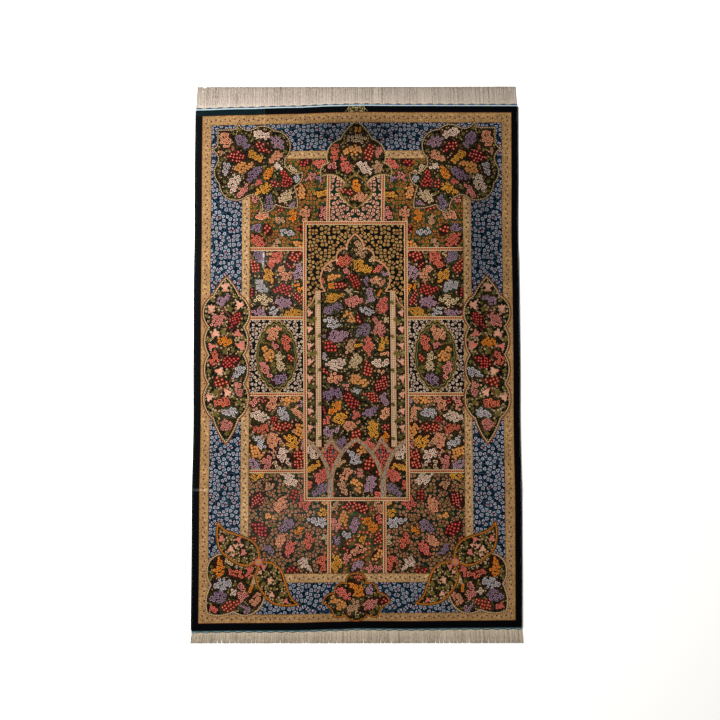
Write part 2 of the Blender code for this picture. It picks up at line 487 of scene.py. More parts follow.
panels = {}         # name, then the numbers of its zones and their outlines
for side in (-1, 1):
    far, near, mid = side * FIELD[1], side * NICHE[1], side * CENTRE_PANEL
    plans = (
        ("upper_corner", box(far, mid, ROWS[0], FIELD[3]), "green"),
        ("second", box(far, near, ROWS[1], ROWS[0]), "black"),
        ("third", box(far, near, ROWS[2], ROWS[1]), "white"),
        ("fourth", box(far, near, ROWS[3], ROWS[2]), "brown"),
        ("lower_corner", box(far, mid, FIELD[2], ROWS[3]), "lower"),
    )
    for name, outline, ground in plans:
        panels[name, side] = field(outline, ground)
panels["flank", 0] = field(box(-CENTRE_PANEL, CENTRE_PANEL, NICHE[3], FIELD[3]), "pink")
panels["foot", 0] = field(box(-CENTRE_PANEL, CENTRE_PANEL, FIELD[2], NICHE[2]), "red")
niche_box = box(*NICHE)
panels["spandrel", 0] = field(niche_box, "gold")
print(len(panels), "panels,", len(cartoon), "shapes")

# %% [markdown]
# The niche is a doorway: a pointed, lobed arch on two slim columns, with a little arcade at its foot.
# Only its right half is listed; the other half is the same table turned over.

# %% The niche
ARCH = [
    # across, along, bulge
    (0, 401, 0.22),
    (27, 357, 0.51),
    (57, 320.5, 0.59),
    (92, 223.5, 0.0),
    (105.5, 223.5, 0.0),
    (105.5, -405, 0.0),
]

arch_outline = arcs(both_sides(ARCH))
panels["niche", 0] = field(arch_outline, "night")
for side in (-1, 1):
    beside = [(side * 123.5, 210, side * -0.20), (side * 151, 171, 0),
              (side * 155, 171, 0), (side * 155, -405, 0), (side * 105.5, -405, 0), (side * 105.5, 224, 0),
              (side * 123.5, 224, 0)]
    panels["strip", side] = field(arcs(beside), "strip")
print("niche drawn")

# %% [markdown]
# ## Motifs
#
# Everything that grows in the panels is one of five shapes: a bunch of blossoms, a bunch of grapes, a
# vine leaf, a lily and a stem. A bunch is laid down as a plain dark egg; its silk then fills the egg
# with whole blossoms and leaves the dark showing round them, so the rim is as ragged as a real one.

# %% Outlines of the motifs
BLOSSOM = 9.0           # pitch of the blossoms in a flower head, mm
GRAPE = 9.2             # pitch of the berries in a bunch of grapes, mm
RIM = 13                # corners of a bunch's egg


def placed(points, x, y, turn):
    """Points turned and moved to where a motif stands."""
    c, s = math.cos(turn), math.sin(turn)
    return [(x + c * px - s * py, y + s * px + c * py) for px, py in points]


def egg(length, width):
    """The plain outline of a bunch."""
    turns = [2 * math.pi * k / RIM for k in range(RIM)]
    return [(length / 2 * math.cos(t), width / 2 * math.sin(t)) for t in turns]


def from_rim(rim, length, width):
    """A whole outline from its upper half, given as shares of its length and width."""
    points = [(u * length, v * width) for u, v in rim]
    return points + [(px, -py) for px, py in points[-2:0:-1]]


LEAF = ((-0.45, 0.0), (-0.50, 0.34), (-0.16, 0.26), (0.02, 0.54), (0.12, 0.22), (0.52, 0.0))
LILY = ((-0.50, 0.0), (-0.34, 0.18), (0.0, 0.26), (0.18, 0.52), (0.42, 0.46), (0.30, 0.16), (0.52, 0.0))


def trail(line, width):
    """The outline of a stem that narrows along a line."""
    left, right = [], []
    for k, (x, y) in enumerate(line):
        ax, ay = line[max(k - 1, 0)]
        bx, by = line[min(k + 1, len(line) - 1)]
        size = math.hypot(bx - ax, by - ay)
        half = width * (1 - 0.5 * k / len(line)) / 2 / size
        left.append((x - (by - ay) * half, y + (bx - ax) * half))
        right.append((x + (by - ay) * half, y - (bx - ax) * half))
    return left + right[::-1]


# kind of head, its colour and the colour of the dots in it
HEADS = (
    ("bunch", "salmon", "plum"),
    ("bunch", "orange", "slate"),
    ("grape", "crimson", "blush"),
    ("bunch", "violet", "plum"),
    ("bunch", "sand", "plum"),
    ("bunch", "coral", "plum"),
    ("bunch", "tan", "ruby"),
    ("grape", "scarlet", "blush"),
    ("bunch", "amber", "bark"),
    ("bunch", "mist", "crimson"),
    ("bunch", "peach", "garnet"),
    ("bunch", "lilac", "ruby"),
    ("bunch", "rose", "plum"),
    ("grape", "crimson", "rose"),
    ("bunch", "ivory", "garnet"),
    ("bunch", "orange", "garnet"),
)
print(len(HEADS), "kinds of flower head")

# %% [markdown]
# A gardener's rule places them: nothing touches its neighbour, no colour stands next to itself, and
# what will not fit is tried again smaller. The random numbers start from a fixed seed, so the garden
# grows the same each time. What is on the left is repeated on the right, turned over, except inside
# the niche, where nothing mirrors.

# %% Planting a panel
BEDDING = (
    # kind, how many are tried, least and most length, width as a share of it
    ("head", 60, 48, 62, 0.52),
    ("head", 40, 34, 46, 0.60),
    ("head", 40, 22, 30, 0.72),
    ("leaf", 40, 11, 16, 0.85),
)
LOOSE_BEDDING = (
    ("head", 14, 48, 62, 0.52),
    ("head", 12, 30, 42, 0.62),
    ("leaf", 14, 12, 17, 0.85),
)
OPEN_BEDDING = (
    ("head", 15, 44, 58, 0.52),
    ("head", 14, 28, 40, 0.62),
    ("leaf", 14, 12, 17, 0.85),
)
VINE_BEDDING = (
    ("head", 14, 48, 60, 0.52),
    ("lily", 10, 25, 30, 0.85),
    ("leaf", 14, 20, 26, 0.95),
    ("head", 6, 26, 34, 0.66),
    ("lily", 12, 20, 25, 0.85),
    ("leaf", 90, 12, 19, 0.90),
)
LEAF_BEDDING = (
    ("lily", 4, 17, 22, 0.85),
    ("leaf", 12, 15, 21, 0.95),
    ("lily", 6, 13, 17, 0.85),
    ("leaf", 40, 10, 14, 0.90),
)
PLACES = 320            # places looked at for each motif
RIM_STEP = 6.0          # mm between the points of a panel's rim that a motif keeps clear of
SAME_APART = 75         # mm at least between two heads of one colour, where that can be
SKIRT = 8               # mm by which a bunch's egg is longer and wider than its blossoms
STALK = 2.4             # mm across a bunch's stem
PACK_WAY = (-0.35, 0.94)    # the direction in which they are packed
CLEAR = 2.2             # mm kept between two motifs


def settle(outline, bedding, seed, margin, snug=True):
    """Where everything stands: rows of kind, x, y, turn, length and width.

    Of the free places looked at, a motif takes the one furthest along one direction, so that they lie
    snug together, or if snug is false the one furthest from its neighbours, so that they spread out.
    """
    draw = np.random.default_rng(seed)
    low, high = np.min(outline, 0), np.max(outline, 0)
    rim = np.array(split_long(outline, RIM_STEP))
    taken = np.zeros((0, 3))
    beds = []
    for kind, tries, least, most, slim in bedding:
        for _ in range(tries):
            turn, length = draw.uniform(0, 2 * math.pi), draw.uniform(least, most)
            width = length * slim * draw.uniform(0.88, 1.12)
            reach = (length - width) / 2
            spine = np.array([(s * reach * math.cos(turn), s * reach * math.sin(turn))
                              for s in (-1, -0.4, 0.4, 1)])
            places = draw.uniform(low, high, (PLACES, 2))
            spines = places[:, None] + spine
            free = inside(outline, spines.reshape(-1, 2)).reshape(-1, 4).all(1)
            to_rim = np.hypot(*(spines[:, :, None] - rim).transpose(3, 0, 1, 2)).min((1, 2))
            free &= to_rim > width / 2 + margin
            room = np.minimum(to_rim, 60.0)     # the first one needn't stand right in the middle
            if len(taken):
                gaps = np.hypot(*(spines[:, :, None] - taken[:, :2]).transpose(3, 0, 1, 2)) - taken[:, 2]
                room = gaps.min((1, 2))
                free &= room > width / 2 + CLEAR
            if not free.any():
                continue
            x, y = places[np.argmax(np.where(free, places @ PACK_WAY if snug else room, -1e9))]
            beds.append((kind, x, y, turn, length, width))
            taken = np.concatenate([taken, np.column_stack([spine + (x, y), np.full(4, width / 2)])])
    return beds


def plant(zones, seed, bedding=BEDDING, margin=-3.0, leaf_dyes=("olive", "leaf"), snug=True):
    """Fill the first zone with motifs, repeat them, turned over, in the second if there is one, and
    return how many bunches grew."""
    draw = random.Random(seed)
    beds = settle(zones[0][1], bedding, seed, margin, snug)
    shapes, stems = [], []
    grown = []
    for kind, x, y, turn, length, width in beds:
        grain = (x, y, math.cos(turn), math.sin(turn), 0)
        if kind == "head":
            near = [h for a, b, h in grown if math.hypot(x - a, y - b) < SAME_APART]
            choice = draw.choice([h for h in range(len(HEADS)) if h not in near] or [0, 2, 5, 7])
            grown.append((x, y, choice))
            silk, main, dots = HEADS[choice]
            form = (length / 2, width / 2, draw.uniform(0, 2 * math.pi))
            size = (BLOSSOM if silk == "bunch" else GRAPE) * draw.uniform(0.88, 1.15)
            dyes = (main, dots, draw.choice(("olive", "bark", "sage")), "soot")
            outline = placed(egg(length + SKIRT, width + SKIRT), x, y, turn)
            shapes.append((outline, silk, dyes, grain, size, form))
            bend, away = draw.uniform(-0.5, 0.5), draw.uniform(0.4, 0.8)
            line = [(x - math.cos(turn + bend * k) * length * (0.4 + away * k / 4),
                     y - math.sin(turn + bend * k) * length * (0.4 + away * k / 4)) for k in range(5)]
            stems.append((trail(line, STALK), "plain", ("bark",), grain, 0, (0, 0, 0)))
            continue
        rim = LILY if kind == "lily" else LEAF
        dyes = draw.choice((("blush", "salmon"), ("rose", "coral"))) if kind == "lily" else leaf_dyes
        outline = placed(from_rim(rim, length, width), x, y, turn)
        shapes.append((outline, "leaf", dyes, grain, length, (0, 0, 0)))
    for (zone, _), flip in zip(zones, (1, -1)):
        for outline, silk, dyes, (x, y, ax, ay, start), size, form in stems + shapes:
            paint([(flip * px, py) for px, py in outline], silk, dyes, zone,
                  (flip * x, y, flip * ax, ay, start), size, form)
    return len(grown)


for side in (-1, 1):
    panels["bay", side] = field(box(side * 155, side * 88, -405, -250), "night")
count = plant([panels["bay", -1], panels["bay", 1]], 9, margin=-2.0)
for name, seed, bedding in (("upper_corner", 3, OPEN_BEDDING), ("second", 14, BEDDING),
                            ("fourth", 25, BEDDING), ("lower_corner", 36, LOOSE_BEDDING)):
    count += plant([panels[name, -1], panels[name, 1]], seed, bedding, snug=bedding is BEDDING)
count += plant([panels["foot", 0]], 47, OPEN_BEDDING, snug=False)
count += plant([panels["niche", 0]], 58, leaf_dyes=("leaf", "soot"))
print(count, "bunches in the panels")

OVAL_MIDDLE = (-243.0, 25.0)
OVAL_HALF = (60, 102)       # half its width and half its length, mm
OVAL_POINTS = 108
HALF_SCALLOPS = 9           # half the number of scallops round it
SCALLOP_SHARE = 0.07        # how far they swell, as a share of its size


def scalloped(size):
    """The scalloped oval at a share of its full size, its ends drawn to a soft point."""
    t = 2 * math.pi * np.arange(OVAL_POINTS) / OVAL_POINTS
    reach = size * (1 + SCALLOP_SHARE * np.abs(np.sin(HALF_SCALLOPS * t)))
    narrow = 1 - 0.2 * np.abs(np.cos(t)) ** 3
    x = OVAL_MIDDLE[0] + OVAL_HALF[0] * reach * narrow * np.sin(t)
    y = OVAL_MIDDLE[1] + OVAL_HALF[1] * reach * np.cos(t)
    return list(zip(x.tolist(), y.tolist()))


oval = scalloped(1.0)
for side in (-1, 1):
    panels["oval", side] = field([(-side * x, y) for x, y in oval], "oval")
plant([panels["oval", -1], panels["oval", 1]], 7, margin=3)
for side in (-1, 1):
    for size, half, dye in ((1.0, 1.5, "bronze"), (0.955, 1.5, "soot"), (0.915, 0.9, "sage")):
        band([(-side * x, y) for x, y in scalloped(size)], half, "plain", (dye,), closed=True)

# %% [markdown]
# The columns, the arcade and the beaded lattice are bands. Each short length of a band knows how far
# along the band it lies, so the beads and the twist of the outline run on round the corners.

# %% Columns, arcade and lattice
for side in (-1, 1):
    zone = panels["strip", side][0]
    for k in range(10):
        y = 205 - 50 * k
        lily = placed(from_rim(LILY, 22, 17), side * 141, y, math.pi / 2 + side * 0.3)
        leaf = placed(from_rim(LEAF, 19, 16), side * 133, y - 25, side * (0.5 if k % 2 else 2.4))
        bud = placed(from_rim(LEAF, 14, 12), side * 147, y - 20, -side * 0.6)
        turned = (0, 0, 0, 1, 0)
        paint(lily, "leaf", ("blush", "salmon"), zone, (side * 141, y, 0, 1, 0), 22)
        paint(leaf, "leaf", ("olive", "leaf"), zone, turned, 19)
        paint(bud, "leaf", ("sage", "leaf"), zone, turned, 14)
    band([(side * 114.5, 224), (side * 114.5, -252)], 9.0, "column", ("wheat", "bark", "bark"))
    band([(side * 103.6, 222), (side * 103.6, -252)], 2.0, "plain", ("soot",))
    for k in range(9):
        curl = placed(from_rim(LEAF, 17, 14), side * (123 if k % 2 else 111), 190 - 52 * k,
                      side * (0.6 if k % 2 else 2.4))
        paint(curl, "leaf", ("olive", "leaf"), None, (0, 0, 0, 1, 0), 17)
    quarter = arcs([(side * 123.5, 212, side * -0.20), (side * 151, 171, 0)], False)
    band(quarter, 1.6, "plain", ("peach",))
    band([(side * 92, 223.5), (side * 124, 223.5)], 1.3, "plain", ("peach",))
arch_line = arcs(both_sides(ARCH[:4])[4:] + ARCH[:4], False)
band(arch_line, 2.3, "plain", ("peach",))
for side in (-1, 1):
    for x, y, _ in ARCH[1:3]:
        turns = [math.pi * k / 4 for k in range(8)]
        paint([(side * (x - 1) + 3.0 * math.cos(t), y - 3 + 3.0 * math.sin(t)) for t in turns], "plain",
              ("cream",))

for side in (-1, 1):
    almond = arcs([(side * 77, -226, side * 0.15), (side * 104, -264, side * 0.12),
                   (side * 80, -335, side * 0.12), (side * 50, -264, side * 0.15)])
    panels["almond", side] = field(almond, "almond")
for side in (-1, 1):
    band([(side * 80, -330), (side * 80, -404)], 8.5, "arcade", ("ash", "copper"))
    band(arcs([(side * 151, -233, side * -0.22), (side * 84, -345, 0)], False), 6.2, "arcade",
         ("ash", "copper"))
    band(arcs([(0, -229, side * 0.22), (side * 76, -345, 0)], False), 6.2, "arcade", ("ash", "copper"))
    band(arcs([(side * 106, -268, side * 0.12), (side * 77, -227, side * 0.12),
               (side * 48, -268, 0)], False), 5.2, "arcade", ("ash", "copper"))

LATTICE = ("garnet", "cream", "tan", "umber")
for y in ROWS:
    for side in (-1, 1):
        band([(side * 326, y), (side * NICHE[1], y)], LATTICE_HALF, "lattice", LATTICE)
for side in (-1, 1):
    for low, high in ((NICHE[3], FIELD[3]), (FIELD[2], NICHE[2])):
        band([(side * CENTRE_PANEL, high), (side * CENTRE_PANEL, low)], LATTICE_HALF, "lattice", LATTICE)
band([(x, y) for x, y in niche_box], LATTICE_HALF, "lattice", LATTICE, closed=True)
print(len(cartoon), "shapes so far")

# %% [markdown]
# ## Medallions
#
# Lobed cartouches stand over the borders: one in each top corner, a tall one on each side, one at each
# end, and lobes with a pair of curved leaves round a rosette in each bottom corner. Their outlines are
# drawn from a few arcs in the proportions such cartouches have, and edged with a barbed line.

# %% Medallions
CROWN = (-429.0, 731.0)         # outer corner of the top left cartouche
CORNER_HALF = [
    # right, down, bulge
    (0, 0, 0.0),
    (48, 0, -0.30),
    (64, -20, -0.30),
    (96, 3, -0.12),
    (122, -8, 0.28),
    (174, 6, 0.66),
    (212, 92, -0.15),
    (209, 112, -0.42),
    (263, 138, 0.38),
    (239, 182, 0.12),
    (250, 250, 0.0),
]
TOP_MEDALLION = [
    (0, 750, 0.12),
    (48, 694, 0.42),
    (88, 628, -0.10),
    (84, 620, 0.55),
    (106, 582, -0.38),
    (32, 558, -0.15),
    (52, 525, 0.10),
    (0, 480, 0.0),
]
SIDE_MEDALLION = [
    (0, 268, 0.10),
    (39, 211, 0.50),
    (54, 114, 0.30),
    (54, 28, 0.30),
    (54, -60, 0.42),
    (39, -166, 0.10),
    (0, -241, 0.0),
]
BOTTOM_MIDDLE = -2.3
BOTTOM_MEDALLION = [
    (0, -633, 0.55),
    (30, -663, 0.58),
    (66, -691, 0.35),
    (102, -720, -0.29),
    (66, -762, 0.20),
    (34, -758, 0.25),
    (0, -776, 0.0),
]
SIDE_MIDDLE = 399.0
STEM_WIDTH = 6.0


def corner_rows():
    """The whole corner cartouche: its half, then the same half turned over the diagonal."""
    back = [(y, x, b) for (x, y, _), (_, _, b) in zip(CORNER_HALF[::-1], CORNER_HALF[-2::-1])]
    return [(CROWN[0] + x, CROWN[1] - y, b) for x, y, b in CORNER_HALF[:-1] + back]


def medallion(name, outline, ground, rope, seed, width=3.0, mirror=False, stem=(), closed=True,
              **how):
    """One cartouche, or a mirrored pair: ground, planting and the barbed line round it.

    If closed is false the line leaves out the outline's first corner.
    """
    sides = (-1, 1) if mirror else (-1,)
    zones = [field([(-side * x, y) for x, y in outline], ground) for side in sides]
    for (zone, _), flip in zip(zones, (1, -1)):
        if stem:
            paint([(flip * x, y) for x, y in trail(stem, STEM_WIDTH)], "plain", ("bark",), zone)
    grown = plant(zones, seed, **how)
    for k, (zone, shape) in enumerate(zones):
        line = shape if closed else shape[1:]
        band(line[::-1] if k else line, width, "rope", rope, closed=closed)
    print(name, grown, "bunches")


SMALL_CARTOUCHE = [
    (0, 588, 0.0),
    (28, 565, -0.15),
    (50, 536, 0.15),
    (34, 510, 0.10),
    (0, 478, 0.0),
]
medallion("corner cartouches", arcs(corner_rows()), "night", ("cream", "umber", "bark"), 71, mirror=True,
          margin=3.5)
medallion("top cartouche", arcs(both_sides(TOP_MEDALLION)), "night", ("bronze", "umber", "cream"), 82,
          margin=3.5)
medallion("small cartouche", arcs(both_sides(SMALL_CARTOUCHE)), "night", ("bronze", "bark", "bronze"), 83,
          width=2.4, margin=2)
side_outline = arcs(both_sides([(x - SIDE_MIDDLE, y, b) for x, y, b in SIDE_MEDALLION], -SIDE_MIDDLE))
winding = [(24 * math.sin(0.42 * k) - SIDE_MIDDLE, 10 * k - 215) for k in range(44)]
medallion("side cartouches", side_outline, "vine", ("cream", "umber", "rust"), 93, mirror=True, width=4.4,
          stem=winding, bedding=VINE_BEDDING, margin=4, snug=False)
bottom_rows = [(BOTTOM_MIDDLE + x, y, b) for x, y, b in BOTTOM_MEDALLION]
medallion("bottom cartouche", arcs(both_sides(bottom_rows, BOTTOM_MIDDLE)), "night",
          ("orange", "bark", "bark"), 61, margin=3)

BOTTOM_CORNER = (-448.0, -751.5)
LOBES = [
    # right, up, bulge
    (152, 156, 0.0),
    (127, 88, 0.15),
    (148, 90, 0.25),
    (169, 49, 0.32),
    (118, -3, 0.20),
    (76, 8, 0.21),
    (-2, 3, 0.22),
    (8, 86, 0.20),
    (-4, 132, 0.34),
    (35, 177, 0.43),
    (87, 142, 0.0),
    (85, 133, 0.0),
]
CURVED_LEAF = [
    (29, 272, -0.22),
    (72, 240, 0.0),
    (112, 226, 0.42),
    (151, 156, 0.05),
    (118, 142, 0.20),
    (58, 168, 0.25),
    (27, 215, 0.12),
]


def at_corner(rows, swap=False):
    """Rows given from the border's bottom left corner, turned over its diagonal if swap is true."""
    if swap:
        rows = [(y, x, b) for (x, y, _), (_, _, b) in zip(rows[::-1], rows[-2::-1] + rows[-1:])]
    return [(BOTTOM_CORNER[0] + x, BOTTOM_CORNER[1] + y, b) for x, y, b in rows]


medallion("bottom corner lobes", arcs(at_corner(LOBES)), "night", ("cream", "tan", "bark"), 12, width=3.0,
          mirror=True, closed=False, margin=2.5)
for swap in (False, True):
    medallion("curved leaves", arcs(at_corner(CURVED_LEAF, swap)), "black", ("orange", "rust", "fern"),
              5 + swap, width=4.2, mirror=True, bedding=LEAF_BEDDING, margin=3.5, snug=False)
for side in (-1, 1):
    x, y = side * (BOTTOM_CORNER[0] + 151), BOTTOM_CORNER[1] + 153
    for radius, petals, depth, dyes in ((15, 10, 0.18, "crimson"), (13.5, 10, 0.18, "coral"),
                                        (9, 8, 0.0, "slate"), (5.5, 6, 0.0, "orange")):
        turns = [math.pi * k / petals for k in range(2 * petals)]
        reach = [radius * (1 - depth * (k % 2)) for k in range(2 * petals)]
        shape = [(x + r * math.cos(t), y + r * math.sin(t)) for r, t in zip(reach, turns)]
        paint(shape, "plain", (dyes,))

PLATE = [(-37, 779), (37, 779), (23, 797.4), (-23, 797.4)]
field(PLATE, "plate")
print(len(cartoon), "shapes in the cartoon")

# %% [markdown]
# ## From the cartoon to the pile
#
# The shapes overlap and cross, and a mesh can't. A constrained triangulation cuts every outline where
# another crosses it, and says which shapes hold each small triangle. The triangle then takes the dyes
# of the last zone laid there, or of the last motif that belongs to that zone.

# %% Cut the inlay
LOOSE_STEP = 22.0       # spacing of the plain points that carry the folds
FOLD_STEP = 7.0         # the same across a ridge
BEVEL = (0.5, 1.2, 2.4)     # rings just inside the edge, where the sheared pile rounds over
SILKS = ("plain", "sprig", "guard", "rope", "lattice", "bunch", "grape", "leaf", "column", "arcade")


def spaced(reach, step, ridges):
    """Even places from -reach to reach, closer together over each ridge."""
    count = round(2 * reach / step)
    places = [-reach + 2 * reach * i / count for i in range(count + 1)]
    for middle, half in ridges:
        places = [v for v in places if abs(v - middle) > half + FOLD_STEP / 2]
        steps = round(2 * half / FOLD_STEP)
        places += [middle - half + 2 * half * i / steps for i in range(steps + 1)]
    return sorted(places)


points, edges = [], []
for outline, *_ in cartoon:
    cut = split_long(outline)
    first = len(points)
    edges += [(first + k, first + (k + 1) % len(cut)) for k in range(len(cut))]
    points += cut
left, right, low, high = EDGE_OUT
for inset in BEVEL:
    points += split_long(box(left + inset, right - inset, low + inset, high - inset), 14)
for x in spaced(right - 8, LOOSE_STEP, RIDGES_ACROSS_MM):
    for y in spaced(high - 8, LOOSE_STEP, RIDGES_ALONG_MM):
        points.append((x, y))
cut_points, _, cut_faces, _, _, _ = delaunay_2d_cdt([Vector(p) for p in points], edges, [], 0, 1e-3, False)
flat = np.array([p[:] for p in cut_points], float)
faces = np.array(cut_faces, int)
middles = flat[faces].mean(1)
faces = faces[np.argsort(middles[:, 0])]
middles = flat[faces].mean(1)
owner = np.zeros(len(faces), int)
zone_of = np.zeros(len(faces), int)
for number, (outline, _, _, within, *_) in enumerate(cartoon):
    (left_x, low_y), (right_x, high_y) = np.min(outline, 0), np.max(outline, 0)
    start, stop = np.searchsorted(middles[:, 0], (left_x, right_x))
    near = np.arange(start, stop)
    near = near[(middles[near, 1] >= low_y) & (middles[near, 1] <= high_y)]
    if within is not None:
        near = near[zone_of[near] == within]
    held = near[inside(outline, middles[near])] if len(near) else near
    owner[held] = number
    if within is None:
        zone_of[held] = number
print(len(points), "points in,", len(flat), "out,", len(faces), "triangles")
print("triangles of each silk", {s: int(sum(cartoon[o][1] == s for o in owner)) for s in SILKS})

# %% [markdown]
# ## Silk
#
# Silk pile is thousands of short cut ends standing together. It is smooth and a little glossy at a
# glance, its colour deepens where one looks down into the ends, and every knot takes the dye a little
# differently. Each kind of silk below works out its own pattern from the place on the rug, and
# then all of them pass through the same finish: knots, uneven dye lots, painted shade for the depth of
# the pile, painted highlights and shade along the folds and in patches, and the soft lustre.

# %% The finish that all the silk shares
PAINTED_LIGHT_AND_SHADE = (
    # across and along, in metres; how far across and along it reaches; and how much painted light it
    # adds, as highlights on the creases and lighter patches, or if negative, painted shade it takes away
    (-0.285, 0.325, 0.005, 0.018, 1.5),
    (-0.287, 0.296, 0.006, 0.016, 1.3),
    (-0.285, 0.306, 0.090, 0.005, 0.4),
    (-0.285, 0.700, 0.004, 0.120, 0.35),
    (0.020, 0.705, 0.420, 0.110, -0.30),
    (0.000, 0.700, 0.360, 0.065, -0.36),
    (0.000, 0.742, 0.600, 0.050, -0.14),
    (0.360, 0.610, 0.170, 0.210, -0.22),
    (-0.200, -0.480, 0.300, 0.200, 0.14),
    (-0.250, 0.250, 0.150, 0.160, 0.10),
    (0.400, 0.000, 0.070, 0.300, 0.14),
    (0.390, 0.320, 0.130, 0.640, -0.42),
    (-0.360, 0.620, 0.150, 0.170, -0.22),
    (0.050, -0.760, 0.550, 0.090, -0.08),
    (-0.460, -0.393, 0.060, 0.007, 0.5),
    (0.226, 0.303, 0.004, 0.060, 0.25),
)
KNOT = 1.8              # mm; the real knots are about 0.6 mm, too fine to show, so they are drawn coarse
DYE_LOT = 70.0          # mm; the silk comes from a new batch of dye every hand's width


def painted_highlights_and_shade(tree):
    """Painted light and shade as one factor: highlights along the creases and lighter and darker patches.
    """
    place = add(tree, "ShaderNodeTexCoord")["Object"]
    total = 1.0
    for across, along, wide, long, much in PAINTED_LIGHT_AND_SHADE:
        away = add(tree, "ShaderNodeVectorMath", (place, (across, along, 0)), operation="SUBTRACT")[0]
        scaled = add(tree, "ShaderNodeVectorMath", (away, (1 / wide, 1 / long, 0)), operation="MULTIPLY")[0]
        far = add(tree, "ShaderNodeVectorMath", (scaled,), operation="LENGTH")["Value"]
        more = add(tree, "ShaderNodeMapRange", (far, 0.0, 1.0, much, 0.0),
                   interpolation_type="SMOOTHSTEP")[0]
        total = add(tree, "ShaderNodeMath", (total, more), operation="ADD")[0]
    return total


def silk_finish(name, draw_pattern, roughness=0.50, lustre=0.02):
    """A silk whose colour draw_pattern works out, with knots, dye lots, painted highlights and shade, and
    lustre. Every pattern takes the place on the rug, also one that needs only what the mesh carries."""
    material, tree, shader = new_material(name)
    place = add(tree, "ShaderNodeAttribute", attribute_name="weave")["Vector"]
    colour = draw_pattern(tree, place)
    knots = add(tree, "ShaderNodeVectorMath", (place, (1 / KNOT, 1 / KNOT, 0)), operation="MULTIPLY")[0]
    cell = add(tree, "ShaderNodeVectorMath", (knots,), operation="FLOOR")[0]
    take = add(tree, "ShaderNodeTexWhiteNoise", {"Vector": cell}, noise_dimensions="2D")["Value"]
    lot = add(tree, "ShaderNodeTexNoise", {"Vector": place, "Scale": 1 / DYE_LOT, "Detail": 2.0},
              noise_dimensions="2D")["Fac"]
    # each knot its own random tone, and all of them at about half the dye: painted shade for the depth of
    # the pile between the cut ends
    shade = add(tree, "ShaderNodeMapRange", (take, 0.0, 1.0, 0.40, 0.60))[0]
    batch = add(tree, "ShaderNodeMapRange", (lot, 0.3, 0.7, 0.88, 1.12))[0]
    even = add(tree, "ShaderNodeMath", (shade, batch), operation="MULTIPLY")[0]
    # painted light and shade: highlights on the creases and at their crossings, lighter and darker patches
    painted_light = painted_highlights_and_shade(tree)
    both = add(tree, "ShaderNodeMath", (even, painted_light), operation="MULTIPLY")[0]
    # where the painted light is strong the colour also pales toward mist, a painted glare
    painted_glare = add(tree, "ShaderNodeMapRange", (painted_light, 1.0, 3.0, 0.0, 0.7))[0]
    glare_paled = add(tree, "ShaderNodeMix", {0: painted_glare, 6: colour, 7: DYE["mist"]}, data_type="RGBA")[2]
    dyed = add(tree, "ShaderNodeVectorMath", {0: glare_paled, "Scale": both}, operation="SCALE")[0]
    wave = add(tree, "ShaderNodeVectorMath", (knots, (2 * math.pi,) * 3), operation="MULTIPLY")[0]
    rib = add(tree, "ShaderNodeVectorMath", (wave,), operation="SINE")[0]
    parts = add(tree, "ShaderNodeSeparateXYZ", (rib,))
    ribs = add(tree, "ShaderNodeMath", (parts[0], parts[1]), operation="ADD")[0]
    height = add(tree, "ShaderNodeMath", (take, 1.2, ribs), operation="MULTIPLY_ADD")[0]
    bump = add(tree, "ShaderNodeBump", {"Strength": 0.25, "Distance": 0.0003, "Height": height})[0]
    feed(shader, {"Base Color": dyed, "Normal": bump, "Roughness": roughness,
                  "Specular IOR Level": lustre})
    return material


# %% [markdown]
# Small flowers fill the grounds. A Voronoi texture scatters cell middles a set pitch apart; the angle
# and distance from the nearest middle draw a three-lobed blossom that leans to one side. A second,
# finer scatter draws leaves that lie every way, and the cell walls of a third become stems.

# %% Grounds of small flowers


